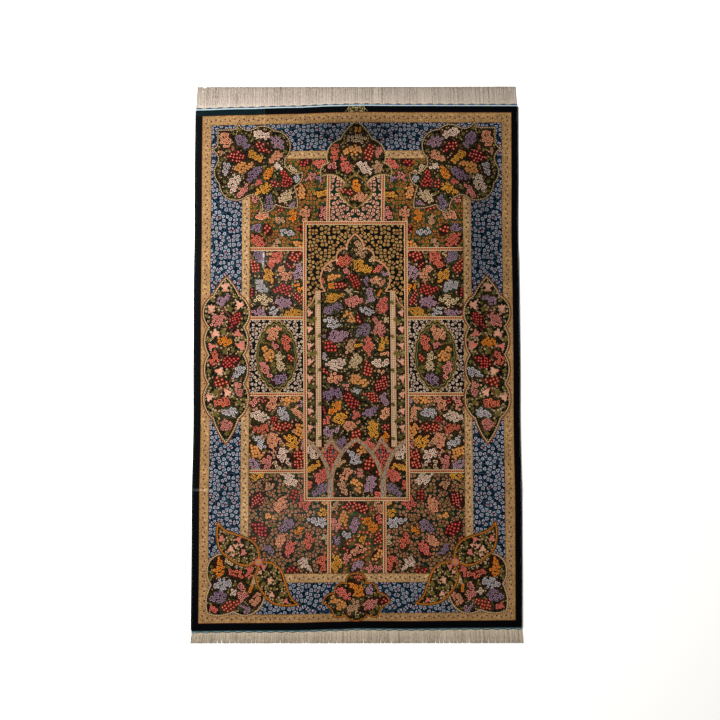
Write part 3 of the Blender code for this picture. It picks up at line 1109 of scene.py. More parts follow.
def sprig_pattern(tree, place):
    """Blossoms, leaves and stems on a ground; their pitch and four dyes come with the zone."""
    ground, petal, green, heart, pitch, form = [
        add(tree, "ShaderNodeAttribute", attribute_name=label)[CARRIED[label]]
        for label in ("dye", "accent", "leafy", "heart", "size", "form")]
    often = add(tree, "ShaderNodeMath", (1.0, pitch), operation="DIVIDE")[0]
    spot = add(tree, "ShaderNodeVectorMath", {0: place, "Scale": often}, operation="SCALE")[0]
    # blossoms: three lobes, longer on one side, kept a little inside their cell
    flower = add(tree, "ShaderNodeTexVoronoi", {"Vector": spot, "Scale": 1.0, "Randomness": 0.92},
                 voronoi_dimensions="2D")
    seam = add(tree, "ShaderNodeTexVoronoi", {"Vector": spot, "Scale": 1.0, "Randomness": 0.92},
               voronoi_dimensions="2D", feature="DISTANCE_TO_EDGE")["Distance"]
    away = add(tree, "ShaderNodeVectorMath", (spot, flower["Position"]), operation="SUBTRACT")[0]
    chance = add(tree, "ShaderNodeSeparateColor", (flower["Color"],))
    turn = add(tree, "ShaderNodeMath", (chance[0], 6.28), operation="MULTIPLY")[0]
    facing = add(tree, "ShaderNodeVectorRotate", {"Vector": away, "Angle": turn}, rotation_type="Z_AXIS")[0]
    ax = add(tree, "ShaderNodeSeparateXYZ", (facing,))
    reach = add(tree, "ShaderNodeVectorMath", (facing,), operation="LENGTH")["Value"]
    share, sunken, smaller = add(tree, "ShaderNodeSeparateXYZ", (form,))
    opens = add(tree, "ShaderNodeMath", (chance[2], share), operation="LESS_THAN")[0]
    angle = add(tree, "ShaderNodeMath", (ax[1], ax[0]), operation="ARCTAN2")[0]
    wheel = add(tree, "ShaderNodeMath", (angle, 3.0), operation="MULTIPLY")[0]
    lobes = add(tree, "ShaderNodeMath", (wheel,), operation="COSINE")[0]
    point = add(tree, "ShaderNodeMath", (angle,), operation="COSINE")[0]
    petal_size = add(tree, "ShaderNodeMath", (0.40, smaller), operation="SUBTRACT")[0]
    rim = add(tree, "ShaderNodeMath", (lobes, 0.05, petal_size), operation="MULTIPLY_ADD")[0]
    drop = add(tree, "ShaderNodeMath", (point, 0.09, rim), operation="MULTIPLY_ADD")[0]
    grown = add(tree, "ShaderNodeMath", (chance[1], 0.10, drop), operation="MULTIPLY_ADD")[0]
    beyond = add(tree, "ShaderNodeMath", (reach, grown), operation="SUBTRACT")[0]
    walled = add(tree, "ShaderNodeMath", (0.125, seam), operation="SUBTRACT")[0]
    inner = add(tree, "ShaderNodeMath", (beyond, walled), operation="MAXIMUM")[0]
    petals = add(tree, "ShaderNodeMath", (inner, 0.0), operation="LESS_THAN")[0]
    is_petal = add(tree, "ShaderNodeMath", (petals, opens), operation="MULTIPLY")[0]
    lines = add(tree, "ShaderNodeMath", (inner, 0.12), operation="LESS_THAN")[0]
    is_line = add(tree, "ShaderNodeMath", (lines, opens), operation="MULTIPLY")[0]
    middle = add(tree, "ShaderNodeMath", (reach, 0.145), operation="LESS_THAN")[0]
    is_heart = add(tree, "ShaderNodeMath", (middle, opens), operation="MULTIPLY")[0]

    # leaves: pointed blades, each turned its own way
    fine = add(tree, "ShaderNodeVectorMath", {0: spot, "Scale": 1.9}, operation="SCALE")[0]
    leaf = add(tree, "ShaderNodeTexVoronoi", {"Vector": fine, "Scale": 1.0, "Randomness": 0.9},
               voronoi_dimensions="2D")
    lead = add(tree, "ShaderNodeSeparateColor", (leaf["Color"],))
    swing = add(tree, "ShaderNodeMath", (lead[0], 6.28), operation="MULTIPLY")[0]
    apart = add(tree, "ShaderNodeVectorMath", (fine, leaf["Position"]), operation="SUBTRACT")[0]
    own = add(tree, "ShaderNodeVectorRotate", {"Vector": apart, "Angle": swing},
              rotation_type="Z_AXIS")[0]
    lx = add(tree, "ShaderNodeSeparateXYZ", (own,))
    slim = add(tree, "ShaderNodeMath", (lx[0], lx[0]), operation="MULTIPLY")[0]
    side = add(tree, "ShaderNodeMath", (lx[1],), operation="ABSOLUTE")[0]
    blade = add(tree, "ShaderNodeMath", (slim, 1.15, side), operation="MULTIPLY_ADD")[0]
    blades = add(tree, "ShaderNodeMath", (blade, 0.20), operation="LESS_THAN")[0]
    few = add(tree, "ShaderNodeMath", (share, 0.6), operation="MULTIPLY")[0]
    sprouts = add(tree, "ShaderNodeMath", (lead[2], few), operation="LESS_THAN")[0]
    is_leaf = add(tree, "ShaderNodeMath", (blades, sprouts), operation="MULTIPLY")[0]
    is_vein = add(tree, "ShaderNodeMath", (side, 0.035), operation="LESS_THAN")[0]

    # stems: the walls between wider cells
    wall = add(tree, "ShaderNodeTexVoronoi", {"Vector": spot, "Scale": 0.8, "Randomness": 1.0},
               voronoi_dimensions="2D", feature="DISTANCE_TO_EDGE")["Distance"]
    is_stem = add(tree, "ShaderNodeMath", (wall, 0.035), operation="LESS_THAN")[0]

    light = add(tree, "ShaderNodeMapRange", (chance[1], 0.0, 1.0, 1.15, 0.80))[0]
    tinted = add(tree, "ShaderNodeVectorMath", {0: petal, "Scale": light}, operation="SCALE")[0]
    tone = add(tree, "ShaderNodeMapRange", (lead[1], 0.0, 1.0, 0.55, 1.35))[0]
    greens = add(tree, "ShaderNodeVectorMath", {0: green, "Scale": tone}, operation="SCALE")[0]
    veined = add(tree, "ShaderNodeMix", {0: is_vein, 6: greens, 7: ground}, data_type="RGBA")[2]
    stemmed = add(tree, "ShaderNodeMix", {0: is_stem, 6: ground, 7: green}, data_type="RGBA")[2]
    leafed = add(tree, "ShaderNodeMix", {0: is_leaf, 6: stemmed, 7: veined}, data_type="RGBA")[2]
    deep = add(tree, "ShaderNodeVectorMath", {0: ground, "Scale": 0.5}, operation="SCALE")[0]
    lined = add(tree, "ShaderNodeMix", {0: is_line, 6: leafed, 7: deep}, data_type="RGBA")[2]
    sink = add(tree, "ShaderNodeMath", (inner, -0.14), operation="LESS_THAN")[0]
    depth = add(tree, "ShaderNodeMath", (sink, sunken), operation="MULTIPLY")[0]
    cupped = add(tree, "ShaderNodeMix", {0: depth, 6: tinted, 7: greens}, data_type="RGBA")[2]
    bloomed = add(tree, "ShaderNodeMix", {0: is_petal, 6: lined, 7: cupped}, data_type="RGBA")[2]
    return add(tree, "ShaderNodeMix", {0: is_heart, 6: bloomed, 7: heart}, data_type="RGBA")[2]


def plain_pattern(tree, place):
    """One dye, as in the dark edge and in the outlines of the motifs."""
    return add(tree, "ShaderNodeAttribute", attribute_name="dye")["Color"]


# %% [markdown]
# A flower head is an even scatter of blossoms. Each point of the egg asks which blossom it is nearest
# to and whether the middle of that blossom lies inside the head; if it does, the whole blossom is
# drawn, dark seam and dot included, and if not, the dark ground stays. Grapes are the same with
# smaller, less evenly spaced berries, darker seams and a pale glint for a dot.

# %% Flower heads and grapes


def head_pattern(petal, dot, even, pale, cleft):
    """Returns a pattern of whole blossoms: the size of their petals and dots, how evenly they stand,
    how pale their rims are and how light the seams between them."""
    def draw_pattern(tree, place):
        main, spots, green, ground = [
            add(tree, "ShaderNodeAttribute", attribute_name=label)[CARRIED[label]]
            for label in ("dye", "accent", "leafy", "heart")]
        own, form, pitch = [
            add(tree, "ShaderNodeAttribute", attribute_name=label)[CARRIED[label]]
            for label in ("grain", "form", "size")]
        # the nearest blossom, and where its middle lies in the head; half[2] sets each head apart
        half = add(tree, "ShaderNodeSeparateXYZ", (form,))
        often = add(tree, "ShaderNodeMath", (1.0, pitch), operation="DIVIDE")[0]
        spot = add(tree, "ShaderNodeVectorMath", {0: own, "Scale": often}, operation="SCALE")[0]
        start = add(tree, "ShaderNodeCombineXYZ", (half[2], half[0]))[0]
        turned = add(tree, "ShaderNodeVectorRotate", {"Vector": spot, "Angle": half[2]},
                     rotation_type="Z_AXIS")[0]
        moved = add(tree, "ShaderNodeVectorMath", (turned, start), operation="ADD")[0]
        near = add(tree, "ShaderNodeTexVoronoi", {"Vector": moved, "Scale": 1.0, "Randomness": even},
                   voronoi_dimensions="2D")
        chance = add(tree, "ShaderNodeSeparateColor", (near["Color"],))
        back = add(tree, "ShaderNodeVectorMath", (near["Position"], start), operation="SUBTRACT")[0]
        wound = add(tree, "ShaderNodeMath", (half[2], -1.0), operation="MULTIPLY")[0]
        unturned = add(tree, "ShaderNodeVectorRotate", {"Vector": back, "Angle": wound},
                       rotation_type="Z_AXIS")[0]
        middle = add(tree, "ShaderNodeVectorMath", {0: unturned, "Scale": pitch}, operation="SCALE")[0]
        at = add(tree, "ShaderNodeSeparateXYZ", (middle,))
        # the head is bent, waisted and narrower at its tip
        along = add(tree, "ShaderNodeMath", (at[0], half[0]), operation="DIVIDE")[0]
        squared = add(tree, "ShaderNodeMath", (along, along), operation="MULTIPLY")[0]
        left_over = add(tree, "ShaderNodeMath", (1.0, squared), operation="SUBTRACT")[0]
        rounded = add(tree, "ShaderNodeMath", (left_over, 0.5), operation="POWER")[0]
        taper = add(tree, "ShaderNodeMath", (along, -0.30, 1.08), operation="MULTIPLY_ADD")[0]
        phase = add(tree, "ShaderNodeMath", (along, 4.5, half[2]), operation="MULTIPLY_ADD")[0]
        wave = add(tree, "ShaderNodeMath", (phase,), operation="COSINE")[0]
        waist = add(tree, "ShaderNodeMath", (wave, 0.20, taper), operation="MULTIPLY_ADD")[0]
        swung = add(tree, "ShaderNodeMath", (along, 2.2, half[2]), operation="MULTIPLY_ADD")[0]
        swing = add(tree, "ShaderNodeMath", (swung,), operation="SINE")[0]
        across = add(tree, "ShaderNodeMath", (at[1], half[1]), operation="DIVIDE")[0]
        bent = add(tree, "ShaderNodeMath", (swing, 0.15, across), operation="MULTIPLY_ADD")[0]
        aside = add(tree, "ShaderNodeMath", (bent,), operation="ABSOLUTE")[0]
        uneven = add(tree, "ShaderNodeMath", (chance[1], 0.12, aside), operation="MULTIPLY_ADD")[0]
        limit = add(tree, "ShaderNodeMath", (waist, rounded), operation="MULTIPLY")[0]
        held = add(tree, "ShaderNodeMath", (uneven, limit), operation="LESS_THAN")[0]

        # the blossom itself
        reach = near["Distance"]
        seam = add(tree, "ShaderNodeTexVoronoi", {"Vector": moved, "Scale": 1.0, "Randomness": even},
                   voronoi_dimensions="2D", feature="DISTANCE_TO_EDGE")["Distance"]
        beyond = add(tree, "ShaderNodeMath", (reach, petal), operation="SUBTRACT")[0]
        walled = add(tree, "ShaderNodeMath", (0.09, seam), operation="SUBTRACT")[0]
        outer = add(tree, "ShaderNodeMath", (beyond, walled), operation="MAXIMUM")[0]
        is_petal = add(tree, "ShaderNodeMath", (outer, 0.0), operation="LESS_THAN")[0]
        is_seam = add(tree, "ShaderNodeMath", (reach, 0.58), operation="LESS_THAN")[0]
        is_dot = add(tree, "ShaderNodeMath", (reach, dot), operation="LESS_THAN")[0]
        shown = add(tree, "ShaderNodeMath", (is_petal, held), operation="MULTIPLY")[0]
        seamed = add(tree, "ShaderNodeMath", (is_seam, held), operation="MULTIPLY")[0]
        dotted = add(tree, "ShaderNodeMath", (is_dot, held), operation="MULTIPLY")[0]
        tone = add(tree, "ShaderNodeMapRange", (chance[0], 0.0, 1.0, 1.20, 1.75))[0]
        varied = add(tree, "ShaderNodeVectorMath", {0: main, "Scale": tone}, operation="SCALE")[0]
        deep = add(tree, "ShaderNodeVectorMath", {0: main, "Scale": cleft}, operation="SCALE")[0]
        fine = add(tree, "ShaderNodeTexVoronoi", {"Vector": own, "Scale": 0.34}, voronoi_dimensions="2D")
        tip = add(tree, "ShaderNodeMath", (fine["Distance"], 0.24), operation="LESS_THAN")[0]
        around = add(tree, "ShaderNodeMix", {0: tip, 6: ground, 7: green}, data_type="RGBA")[2]
        a = add(tree, "ShaderNodeMix", {0: seamed, 6: around, 7: deep}, data_type="RGBA")[2]
        on_rim = add(tree, "ShaderNodeMath", (reach, 0.34), operation="GREATER_THAN")[0]
        half_pale = add(tree, "ShaderNodeMath", (on_rim, pale), operation="MULTIPLY")[0]
        rimmed = add(tree, "ShaderNodeMix", {0: half_pale, 6: varied, 7: DYE["ivory"]}, data_type="RGBA")[2]
        b = add(tree, "ShaderNodeMix", {0: shown, 6: a, 7: rimmed}, data_type="RGBA")[2]
        return add(tree, "ShaderNodeMix", {0: dotted, 6: b, 7: spots}, data_type="RGBA")[2]
    return draw_pattern


def leaf_pattern(tree, place):
    """A leaf or lily: its second dye at the stalk and along the midrib."""
    main, second, own, size = [
        add(tree, "ShaderNodeAttribute", attribute_name=label)[CARRIED[label]]
        for label in ("dye", "accent", "grain", "size")]
    parts = add(tree, "ShaderNodeSeparateXYZ", (own,))
    along = add(tree, "ShaderNodeMath", (parts[0], size), operation="DIVIDE")[0]
    side = add(tree, "ShaderNodeMath", (parts[1],), operation="ABSOLUTE")[0]
    is_rib = add(tree, "ShaderNodeMath", (side, 0.6), operation="LESS_THAN")[0]
    foot = add(tree, "ShaderNodeMapRange", (along, -0.1, -0.5, 0.0, 0.8))[0]
    share = add(tree, "ShaderNodeMath", (is_rib, 0.55, foot), operation="MULTIPLY_ADD", use_clamp=True)[0]
    return add(tree, "ShaderNodeMix", {0: share, 6: main, 7: second}, data_type="RGBA")[2]


# %% [markdown]
# The bands read how far along and how far across they are. The guard stripe carries a rosette every
# 14.5 mm, a little to one side and then the other; the lattice carries red beads between two cream
# lines; the outline of a cartouche is a line with slanting barbs along one side.

# %% Bands
ROSETTE_PITCH = 14.5
BEAD_PITCH = 6.6
BARB_PITCH = 7.0


def guard_pattern(tree, place):
    """Gold stripe with a zigzag row of plum rosettes, small flecks, and a line down each edge."""
    ground, petal, vine, line, own, half = [
        add(tree, "ShaderNodeAttribute", attribute_name=label)[CARRIED[label]]
        for label in ("dye", "accent", "leafy", "heart", "grain", "size")]
    parts = add(tree, "ShaderNodeSeparateXYZ", (own,))
    step = add(tree, "ShaderNodeMath", (parts[0], ROSETTE_PITCH), operation="DIVIDE")[0]
    turn = add(tree, "ShaderNodeMath", (step, math.pi), operation="MULTIPLY")[0]
    zigzag = add(tree, "ShaderNodeMath", (turn,), operation="SINE")[0]
    # rosettes
    share = add(tree, "ShaderNodeMath", (step, 0.5), operation="ADD")[0]
    cycle = add(tree, "ShaderNodeMath", (share,), operation="FRACT")[0]
    du = add(tree, "ShaderNodeMath", (cycle, ROSETTE_PITCH, -ROSETTE_PITCH / 2),
             operation="MULTIPLY_ADD")[0]
    middle = add(tree, "ShaderNodeMath", (step, 0.5), operation="ADD")[0]
    whole = add(tree, "ShaderNodeMath", (middle,), operation="FLOOR")[0]
    even = add(tree, "ShaderNodeMath", (whole, 2.0), operation="FLOORED_MODULO")[0]
    shift = add(tree, "ShaderNodeMath", (even, 5.0, -2.5), operation="MULTIPLY_ADD")[0]
    dv = add(tree, "ShaderNodeMath", (parts[1], shift), operation="SUBTRACT")[0]
    spot = add(tree, "ShaderNodeCombineXYZ", (du, dv))[0]
    reach = add(tree, "ShaderNodeVectorMath", (spot,), operation="LENGTH")["Value"]
    angle = add(tree, "ShaderNodeMath", (dv, du), operation="ARCTAN2")[0]
    wheel = add(tree, "ShaderNodeMath", (angle, 5.0), operation="MULTIPLY")[0]
    lobes = add(tree, "ShaderNodeMath", (wheel,), operation="COSINE")[0]
    rim = add(tree, "ShaderNodeMath", (lobes, 0.5, 2.9), operation="MULTIPLY_ADD")[0]
    is_petal = add(tree, "ShaderNodeMath", (reach, rim), operation="LESS_THAN")[0]
    is_heart = add(tree, "ShaderNodeMath", (reach, 0.5), operation="LESS_THAN")[0]
    # flecks
    fine = add(tree, "ShaderNodeVectorMath", {0: own, "Scale": 1 / 5.5}, operation="SCALE")[0]
    fleck = add(tree, "ShaderNodeTexVoronoi", {"Vector": fine, "Scale": 1.0, "Randomness": 0.9},
                voronoi_dimensions="2D")
    chance = add(tree, "ShaderNodeSeparateColor", (fleck["Color"],))
    is_fleck = add(tree, "ShaderNodeMath", (fleck["Distance"], 0.34), operation="LESS_THAN")[0]
    pick = add(tree, "ShaderNodeMath", (chance[0], 0.66), operation="GREATER_THAN")[0]
    red = add(tree, "ShaderNodeMath", (is_fleck, pick), operation="MULTIPLY")[0]
    other = add(tree, "ShaderNodeMath", (chance[1], 0.55), operation="GREATER_THAN")[0]
    greenish = add(tree, "ShaderNodeMath", (is_fleck, other), operation="MULTIPLY")[0]
    # vine
    swing = add(tree, "ShaderNodeMath", (zigzag, 6.5), operation="MULTIPLY")[0]
    off = add(tree, "ShaderNodeMath", (parts[1], swing), operation="ADD")[0]
    off_size = add(tree, "ShaderNodeMath", (off,), operation="ABSOLUTE")[0]
    is_vine = add(tree, "ShaderNodeMath", (off_size, 0.8), operation="LESS_THAN")[0]
    # edge lines
    side = add(tree, "ShaderNodeMath", (parts[1],), operation="ABSOLUTE")[0]
    from_edge = add(tree, "ShaderNodeMath", (half, side), operation="SUBTRACT")[0]
    is_edge = add(tree, "ShaderNodeMath", (from_edge, 1.5), operation="LESS_THAN")[0]
    inner = add(tree, "ShaderNodeMath", (from_edge, 4.4), operation="SUBTRACT")[0]
    inner_size = add(tree, "ShaderNodeMath", (inner,), operation="ABSOLUTE")[0]
    is_inner = add(tree, "ShaderNodeMath", (inner_size, 0.5), operation="LESS_THAN")[0]
    light = add(tree, "ShaderNodeMapRange", (chance[2], 0.0, 1.0, 0.82, 1.25))[0]
    mottled = add(tree, "ShaderNodeVectorMath", {0: ground, "Scale": light}, operation="SCALE")[0]
    soft_red = add(tree, "ShaderNodeMix", {0: 0.7, 6: ground, 7: line}, data_type="RGBA")[2]
    soft_vine = add(tree, "ShaderNodeMix", {0: 0.9, 6: ground, 7: vine}, data_type="RGBA")[2]
    a = add(tree, "ShaderNodeMix", {0: greenish, 6: mottled, 7: soft_vine}, data_type="RGBA")[2]
    b = add(tree, "ShaderNodeMix", {0: red, 6: a, 7: soft_red}, data_type="RGBA")[2]
    c = add(tree, "ShaderNodeMix", {0: is_vine, 6: b, 7: soft_vine}, data_type="RGBA")[2]
    halo = add(tree, "ShaderNodeMath", (rim, 1.0), operation="ADD")[0]
    in_halo = add(tree, "ShaderNodeMath", (reach, halo), operation="LESS_THAN")[0]
    faint = add(tree, "ShaderNodeMath", (in_halo, 0.5), operation="MULTIPLY")[0]
    haloed = add(tree, "ShaderNodeMix", {0: faint, 6: c, 7: DYE["blush"]}, data_type="RGBA")[2]
    d = add(tree, "ShaderNodeMix", {0: is_petal, 6: haloed, 7: petal}, data_type="RGBA")[2]
    e = add(tree, "ShaderNodeMix", {0: is_heart, 6: d, 7: ground}, data_type="RGBA")[2]
    f = add(tree, "ShaderNodeMix", {0: is_inner, 6: e, 7: soft_vine}, data_type="RGBA")[2]
    return add(tree, "ShaderNodeMix", {0: is_edge, 6: f, 7: line}, data_type="RGBA")[2]


def lattice_pattern(tree, place):
    """Red beads in a row, a cream line on either side and a dark line outside those."""
    bead, line, gap, dark, own = [
        add(tree, "ShaderNodeAttribute", attribute_name=label)[CARRIED[label]]
        for label in ("dye", "accent", "leafy", "heart", "grain")]
    parts = add(tree, "ShaderNodeSeparateXYZ", (own,))
    step = add(tree, "ShaderNodeMath", (parts[0], BEAD_PITCH), operation="DIVIDE")[0]
    cycle = add(tree, "ShaderNodeMath", (step,), operation="FRACT")[0]
    side = add(tree, "ShaderNodeMath", (parts[1],), operation="ABSOLUTE")[0]
    is_bead = add(tree, "ShaderNodeMath", (cycle, 0.68), operation="LESS_THAN")[0]
    is_line = add(tree, "ShaderNodeMath", (side, 2.8), operation="GREATER_THAN")[0]
    is_dark = add(tree, "ShaderNodeMath", (side, 5.2), operation="GREATER_THAN")[0]
    row = add(tree, "ShaderNodeMix", {0: is_bead, 6: gap, 7: bead}, data_type="RGBA")[2]
    lined = add(tree, "ShaderNodeMix", {0: is_line, 6: row, 7: line}, data_type="RGBA")[2]
    return add(tree, "ShaderNodeMix", {0: is_dark, 6: lined, 7: dark}, data_type="RGBA")[2]


def rope_pattern(tree, place):
    """A line with barbs, an outer side with a colour of its own, and a dark inner edge."""
    light, dark, outer, own, half = [
        add(tree, "ShaderNodeAttribute", attribute_name=label)[CARRIED[label]]
        for label in ("dye", "accent", "leafy", "grain", "size")]
    parts = add(tree, "ShaderNodeSeparateXYZ", (own,))
    slant = add(tree, "ShaderNodeMath", (parts[0], parts[1]), operation="ADD")[0]
    step = add(tree, "ShaderNodeMath", (slant, BARB_PITCH), operation="DIVIDE")[0]
    cycle = add(tree, "ShaderNodeMath", (step,), operation="FRACT")[0]
    is_barb = add(tree, "ShaderNodeMath", (cycle, 0.36), operation="LESS_THAN")[0]
    across = add(tree, "ShaderNodeMath", (parts[1], half), operation="DIVIDE")[0]
    is_outer = add(tree, "ShaderNodeMath", (across, 0.10), operation="GREATER_THAN")[0]
    is_inner = add(tree, "ShaderNodeMath", (across, -0.66), operation="LESS_THAN")[0]
    barbs = add(tree, "ShaderNodeMix", {0: is_barb, 6: outer, 7: dark}, data_type="RGBA")[2]
    twist = add(tree, "ShaderNodeMath", (is_barb, 0.90), operation="MULTIPLY")[0]
    line = add(tree, "ShaderNodeMix", {0: twist, 6: light, 7: dark}, data_type="RGBA")[2]
    both = add(tree, "ShaderNodeMix", {0: is_outer, 6: line, 7: barbs}, data_type="RGBA")[2]
    shadow = add(tree, "ShaderNodeVectorMath", {0: dark, "Scale": 0.2}, operation="SCALE")[0]
    return add(tree, "ShaderNodeMix", {0: is_inner, 6: both, 7: shadow}, data_type="RGBA")[2]


def column_pattern(tree, place):
    """A pale pillar with a fine diaper of darker knots and a line down each side."""
    light, dark, edge, own, half = [
        add(tree, "ShaderNodeAttribute", attribute_name=label)[CARRIED[label]]
        for label in ("dye", "accent", "leafy", "grain", "size")]
    scaled = add(tree, "ShaderNodeVectorMath", {0: own, "Scale": 1 / 4.8}, operation="SCALE")[0]
    turned = add(tree, "ShaderNodeVectorRotate", {"Vector": scaled, "Angle": math.pi / 4},
                 rotation_type="Z_AXIS")[0]
    check = add(tree, "ShaderNodeTexChecker", {"Vector": turned, "Scale": 1.0})["Fac"]
    partly = add(tree, "ShaderNodeMath", (check, 0.60), operation="MULTIPLY")[0]
    parts = add(tree, "ShaderNodeSeparateXYZ", (own,))
    side = add(tree, "ShaderNodeMath", (parts[1],), operation="ABSOLUTE")[0]
    across = add(tree, "ShaderNodeMath", (side, half), operation="DIVIDE")[0]
    is_edge = add(tree, "ShaderNodeMath", (across, 0.84), operation="GREATER_THAN")[0]
    diaper = add(tree, "ShaderNodeMix", {0: partly, 6: light, 7: dark}, data_type="RGBA")[2]
    return add(tree, "ShaderNodeMix", {0: is_edge, 6: diaper, 7: edge}, data_type="RGBA")[2]


def arcade_pattern(tree, place):
    """A speckled grey rib between two orange-brown lines."""
    rib, line, own, half = [
        add(tree, "ShaderNodeAttribute", attribute_name=label)[CARRIED[label]]
        for label in ("dye", "accent", "grain", "size")]
    fine = add(tree, "ShaderNodeTexVoronoi", {"Vector": own, "Scale": 0.24}, voronoi_dimensions="2D")
    tone = add(tree, "ShaderNodeMapRange", (fine["Distance"], 0.1, 0.6, 1.9, 0.45))[0]
    flecked = add(tree, "ShaderNodeVectorMath", {0: rib, "Scale": tone}, operation="SCALE")[0]
    parts = add(tree, "ShaderNodeSeparateXYZ", (own,))
    side = add(tree, "ShaderNodeMath", (parts[1],), operation="ABSOLUTE")[0]
    from_edge = add(tree, "ShaderNodeMath", (half, side), operation="SUBTRACT")[0]
    is_line = add(tree, "ShaderNodeMath", (from_edge, 2.2), operation="LESS_THAN")[0]
    return add(tree, "ShaderNodeMix", {0: is_line, 6: flecked, 7: line}, data_type="RGBA")[2]


PATTERNS = {
    "plain": plain_pattern, "sprig": sprig_pattern, "guard": guard_pattern, "rope": rope_pattern,
    "lattice": lattice_pattern, "bunch": head_pattern(0.47, 0.24, 0.60, 0.15, 0.22),
    "grape": head_pattern(0.43, 0.17, 0.40, 0.0, 0.10), "leaf": leaf_pattern, "column": column_pattern,
    "arcade": arcade_pattern,
}
pile_silks = [silk_finish("knotted_silk_" + silk, PATTERNS[silk]) for silk in SILKS]
print(len(pile_silks), "silks")

# %% [markdown]
# The pile is one closed slab. Its top carries the inlay; its edge rounds over where the shears
# trimmed it, and its underside, which nobody sees, is a plain coarse net. The foundation below it is
# a second slab, whose underside shows the same knots from behind, flat and matt.

# %% Build the slabs
PILE_FOOT = 0.0016
FOUNDATION_TOP = 0.0014
ROUND_OVER = 2.4        # mm in from the edge where the rounding starts
ROUND_DROP = 0.0007
NET_STEP = 60           # mm between the points of the plain side


def surface(flat_mm, height, rounded):
    """The laid places of flat points, in metres, at a height above the cloth's underside."""
    x0, y0 = flat_mm[:, 0] * MM, flat_mm[:, 1] * MM
    x, y = laid(x0, y0)
    left, right, low, high = EDGE_OUT
    rim = np.minimum(np.minimum(flat_mm[:, 0] - left, right - flat_mm[:, 0]),
                     np.minimum(flat_mm[:, 1] - low, high - flat_mm[:, 1]))
    inward = np.clip(1 - rim / ROUND_OVER, 0, 1)
    drop = rounded * (1 - np.sqrt(np.clip(1 - inward ** 2, 0, 1)))
    return np.stack([x, y + PILE_MIDDLE, lift(x, y) + height - drop], 1)


MAP_FROM = np.array((0.02, 0.05))       # where the patterned side starts on the baked map
MAP_SPAN = np.array((0.96, 0.93))       # and how much of the map it takes
STRIP_FROM = 0.004                      # the same for the strip of everything else
STRIP_SPAN = 0.03


def rim_loop(count):
    """Points round the outer edge, in order, as the triangulation left them."""
    left, right, low, high = EDGE_OUT
    on = {}
    for i in range(count):
        x, y = flat[i]
        if abs(y - low) < 1e-4:
            on[i] = x - left
        elif abs(x - right) < 1e-4:
            on[i] = (right - left) + (y - low)
        elif abs(y - high) < 1e-4:
            on[i] = (right - left) + (high - low) + (right - x)
        elif abs(x - left) < 1e-4:
            on[i] = 2 * (right - left) + (high - low) + (high - y)
    return sorted(on, key=on.get)


def coarse_net(loop):
    """A coarse triangulation inside the rim: its points, and triangles over the rim and those."""
    inner = [(x, y) for x in spaced(EDGE_OUT[1] - 10, NET_STEP, RIDGES_ACROSS_MM)
             for y in spaced(EDGE_OUT[3] - 10, NET_STEP, RIDGES_ALONG_MM)]
    given = [Vector(flat[i]) for i in loop] + [Vector(p) for p in inner]
    _, _, net, _, _, _ = delaunay_2d_cdt(given, [], [list(range(len(loop)))], 1, 1e-4, True)
    return np.array(inner), np.array(net, int)


def corner_values(per_shape, whose):
    """What each shape of the cartoon has, for the three corners of each of its faces."""
    return np.repeat(np.array(per_shape, np.float32)[whose], 3, axis=0)


def carry(mesh, label, values, where="CORNER"):
    """Store a number, a vector or a colour for each corner, or each point, of a mesh."""
    values = np.asarray(values, np.float32)
    kind, key = {(): ("FLOAT", "value"), (3,): ("FLOAT_VECTOR", "vector"),
                 (4,): ("FLOAT_COLOR", "color")}[values.shape[1:]]
    mesh.attributes.new(label, kind, where).data.foreach_set(key, values.ravel())


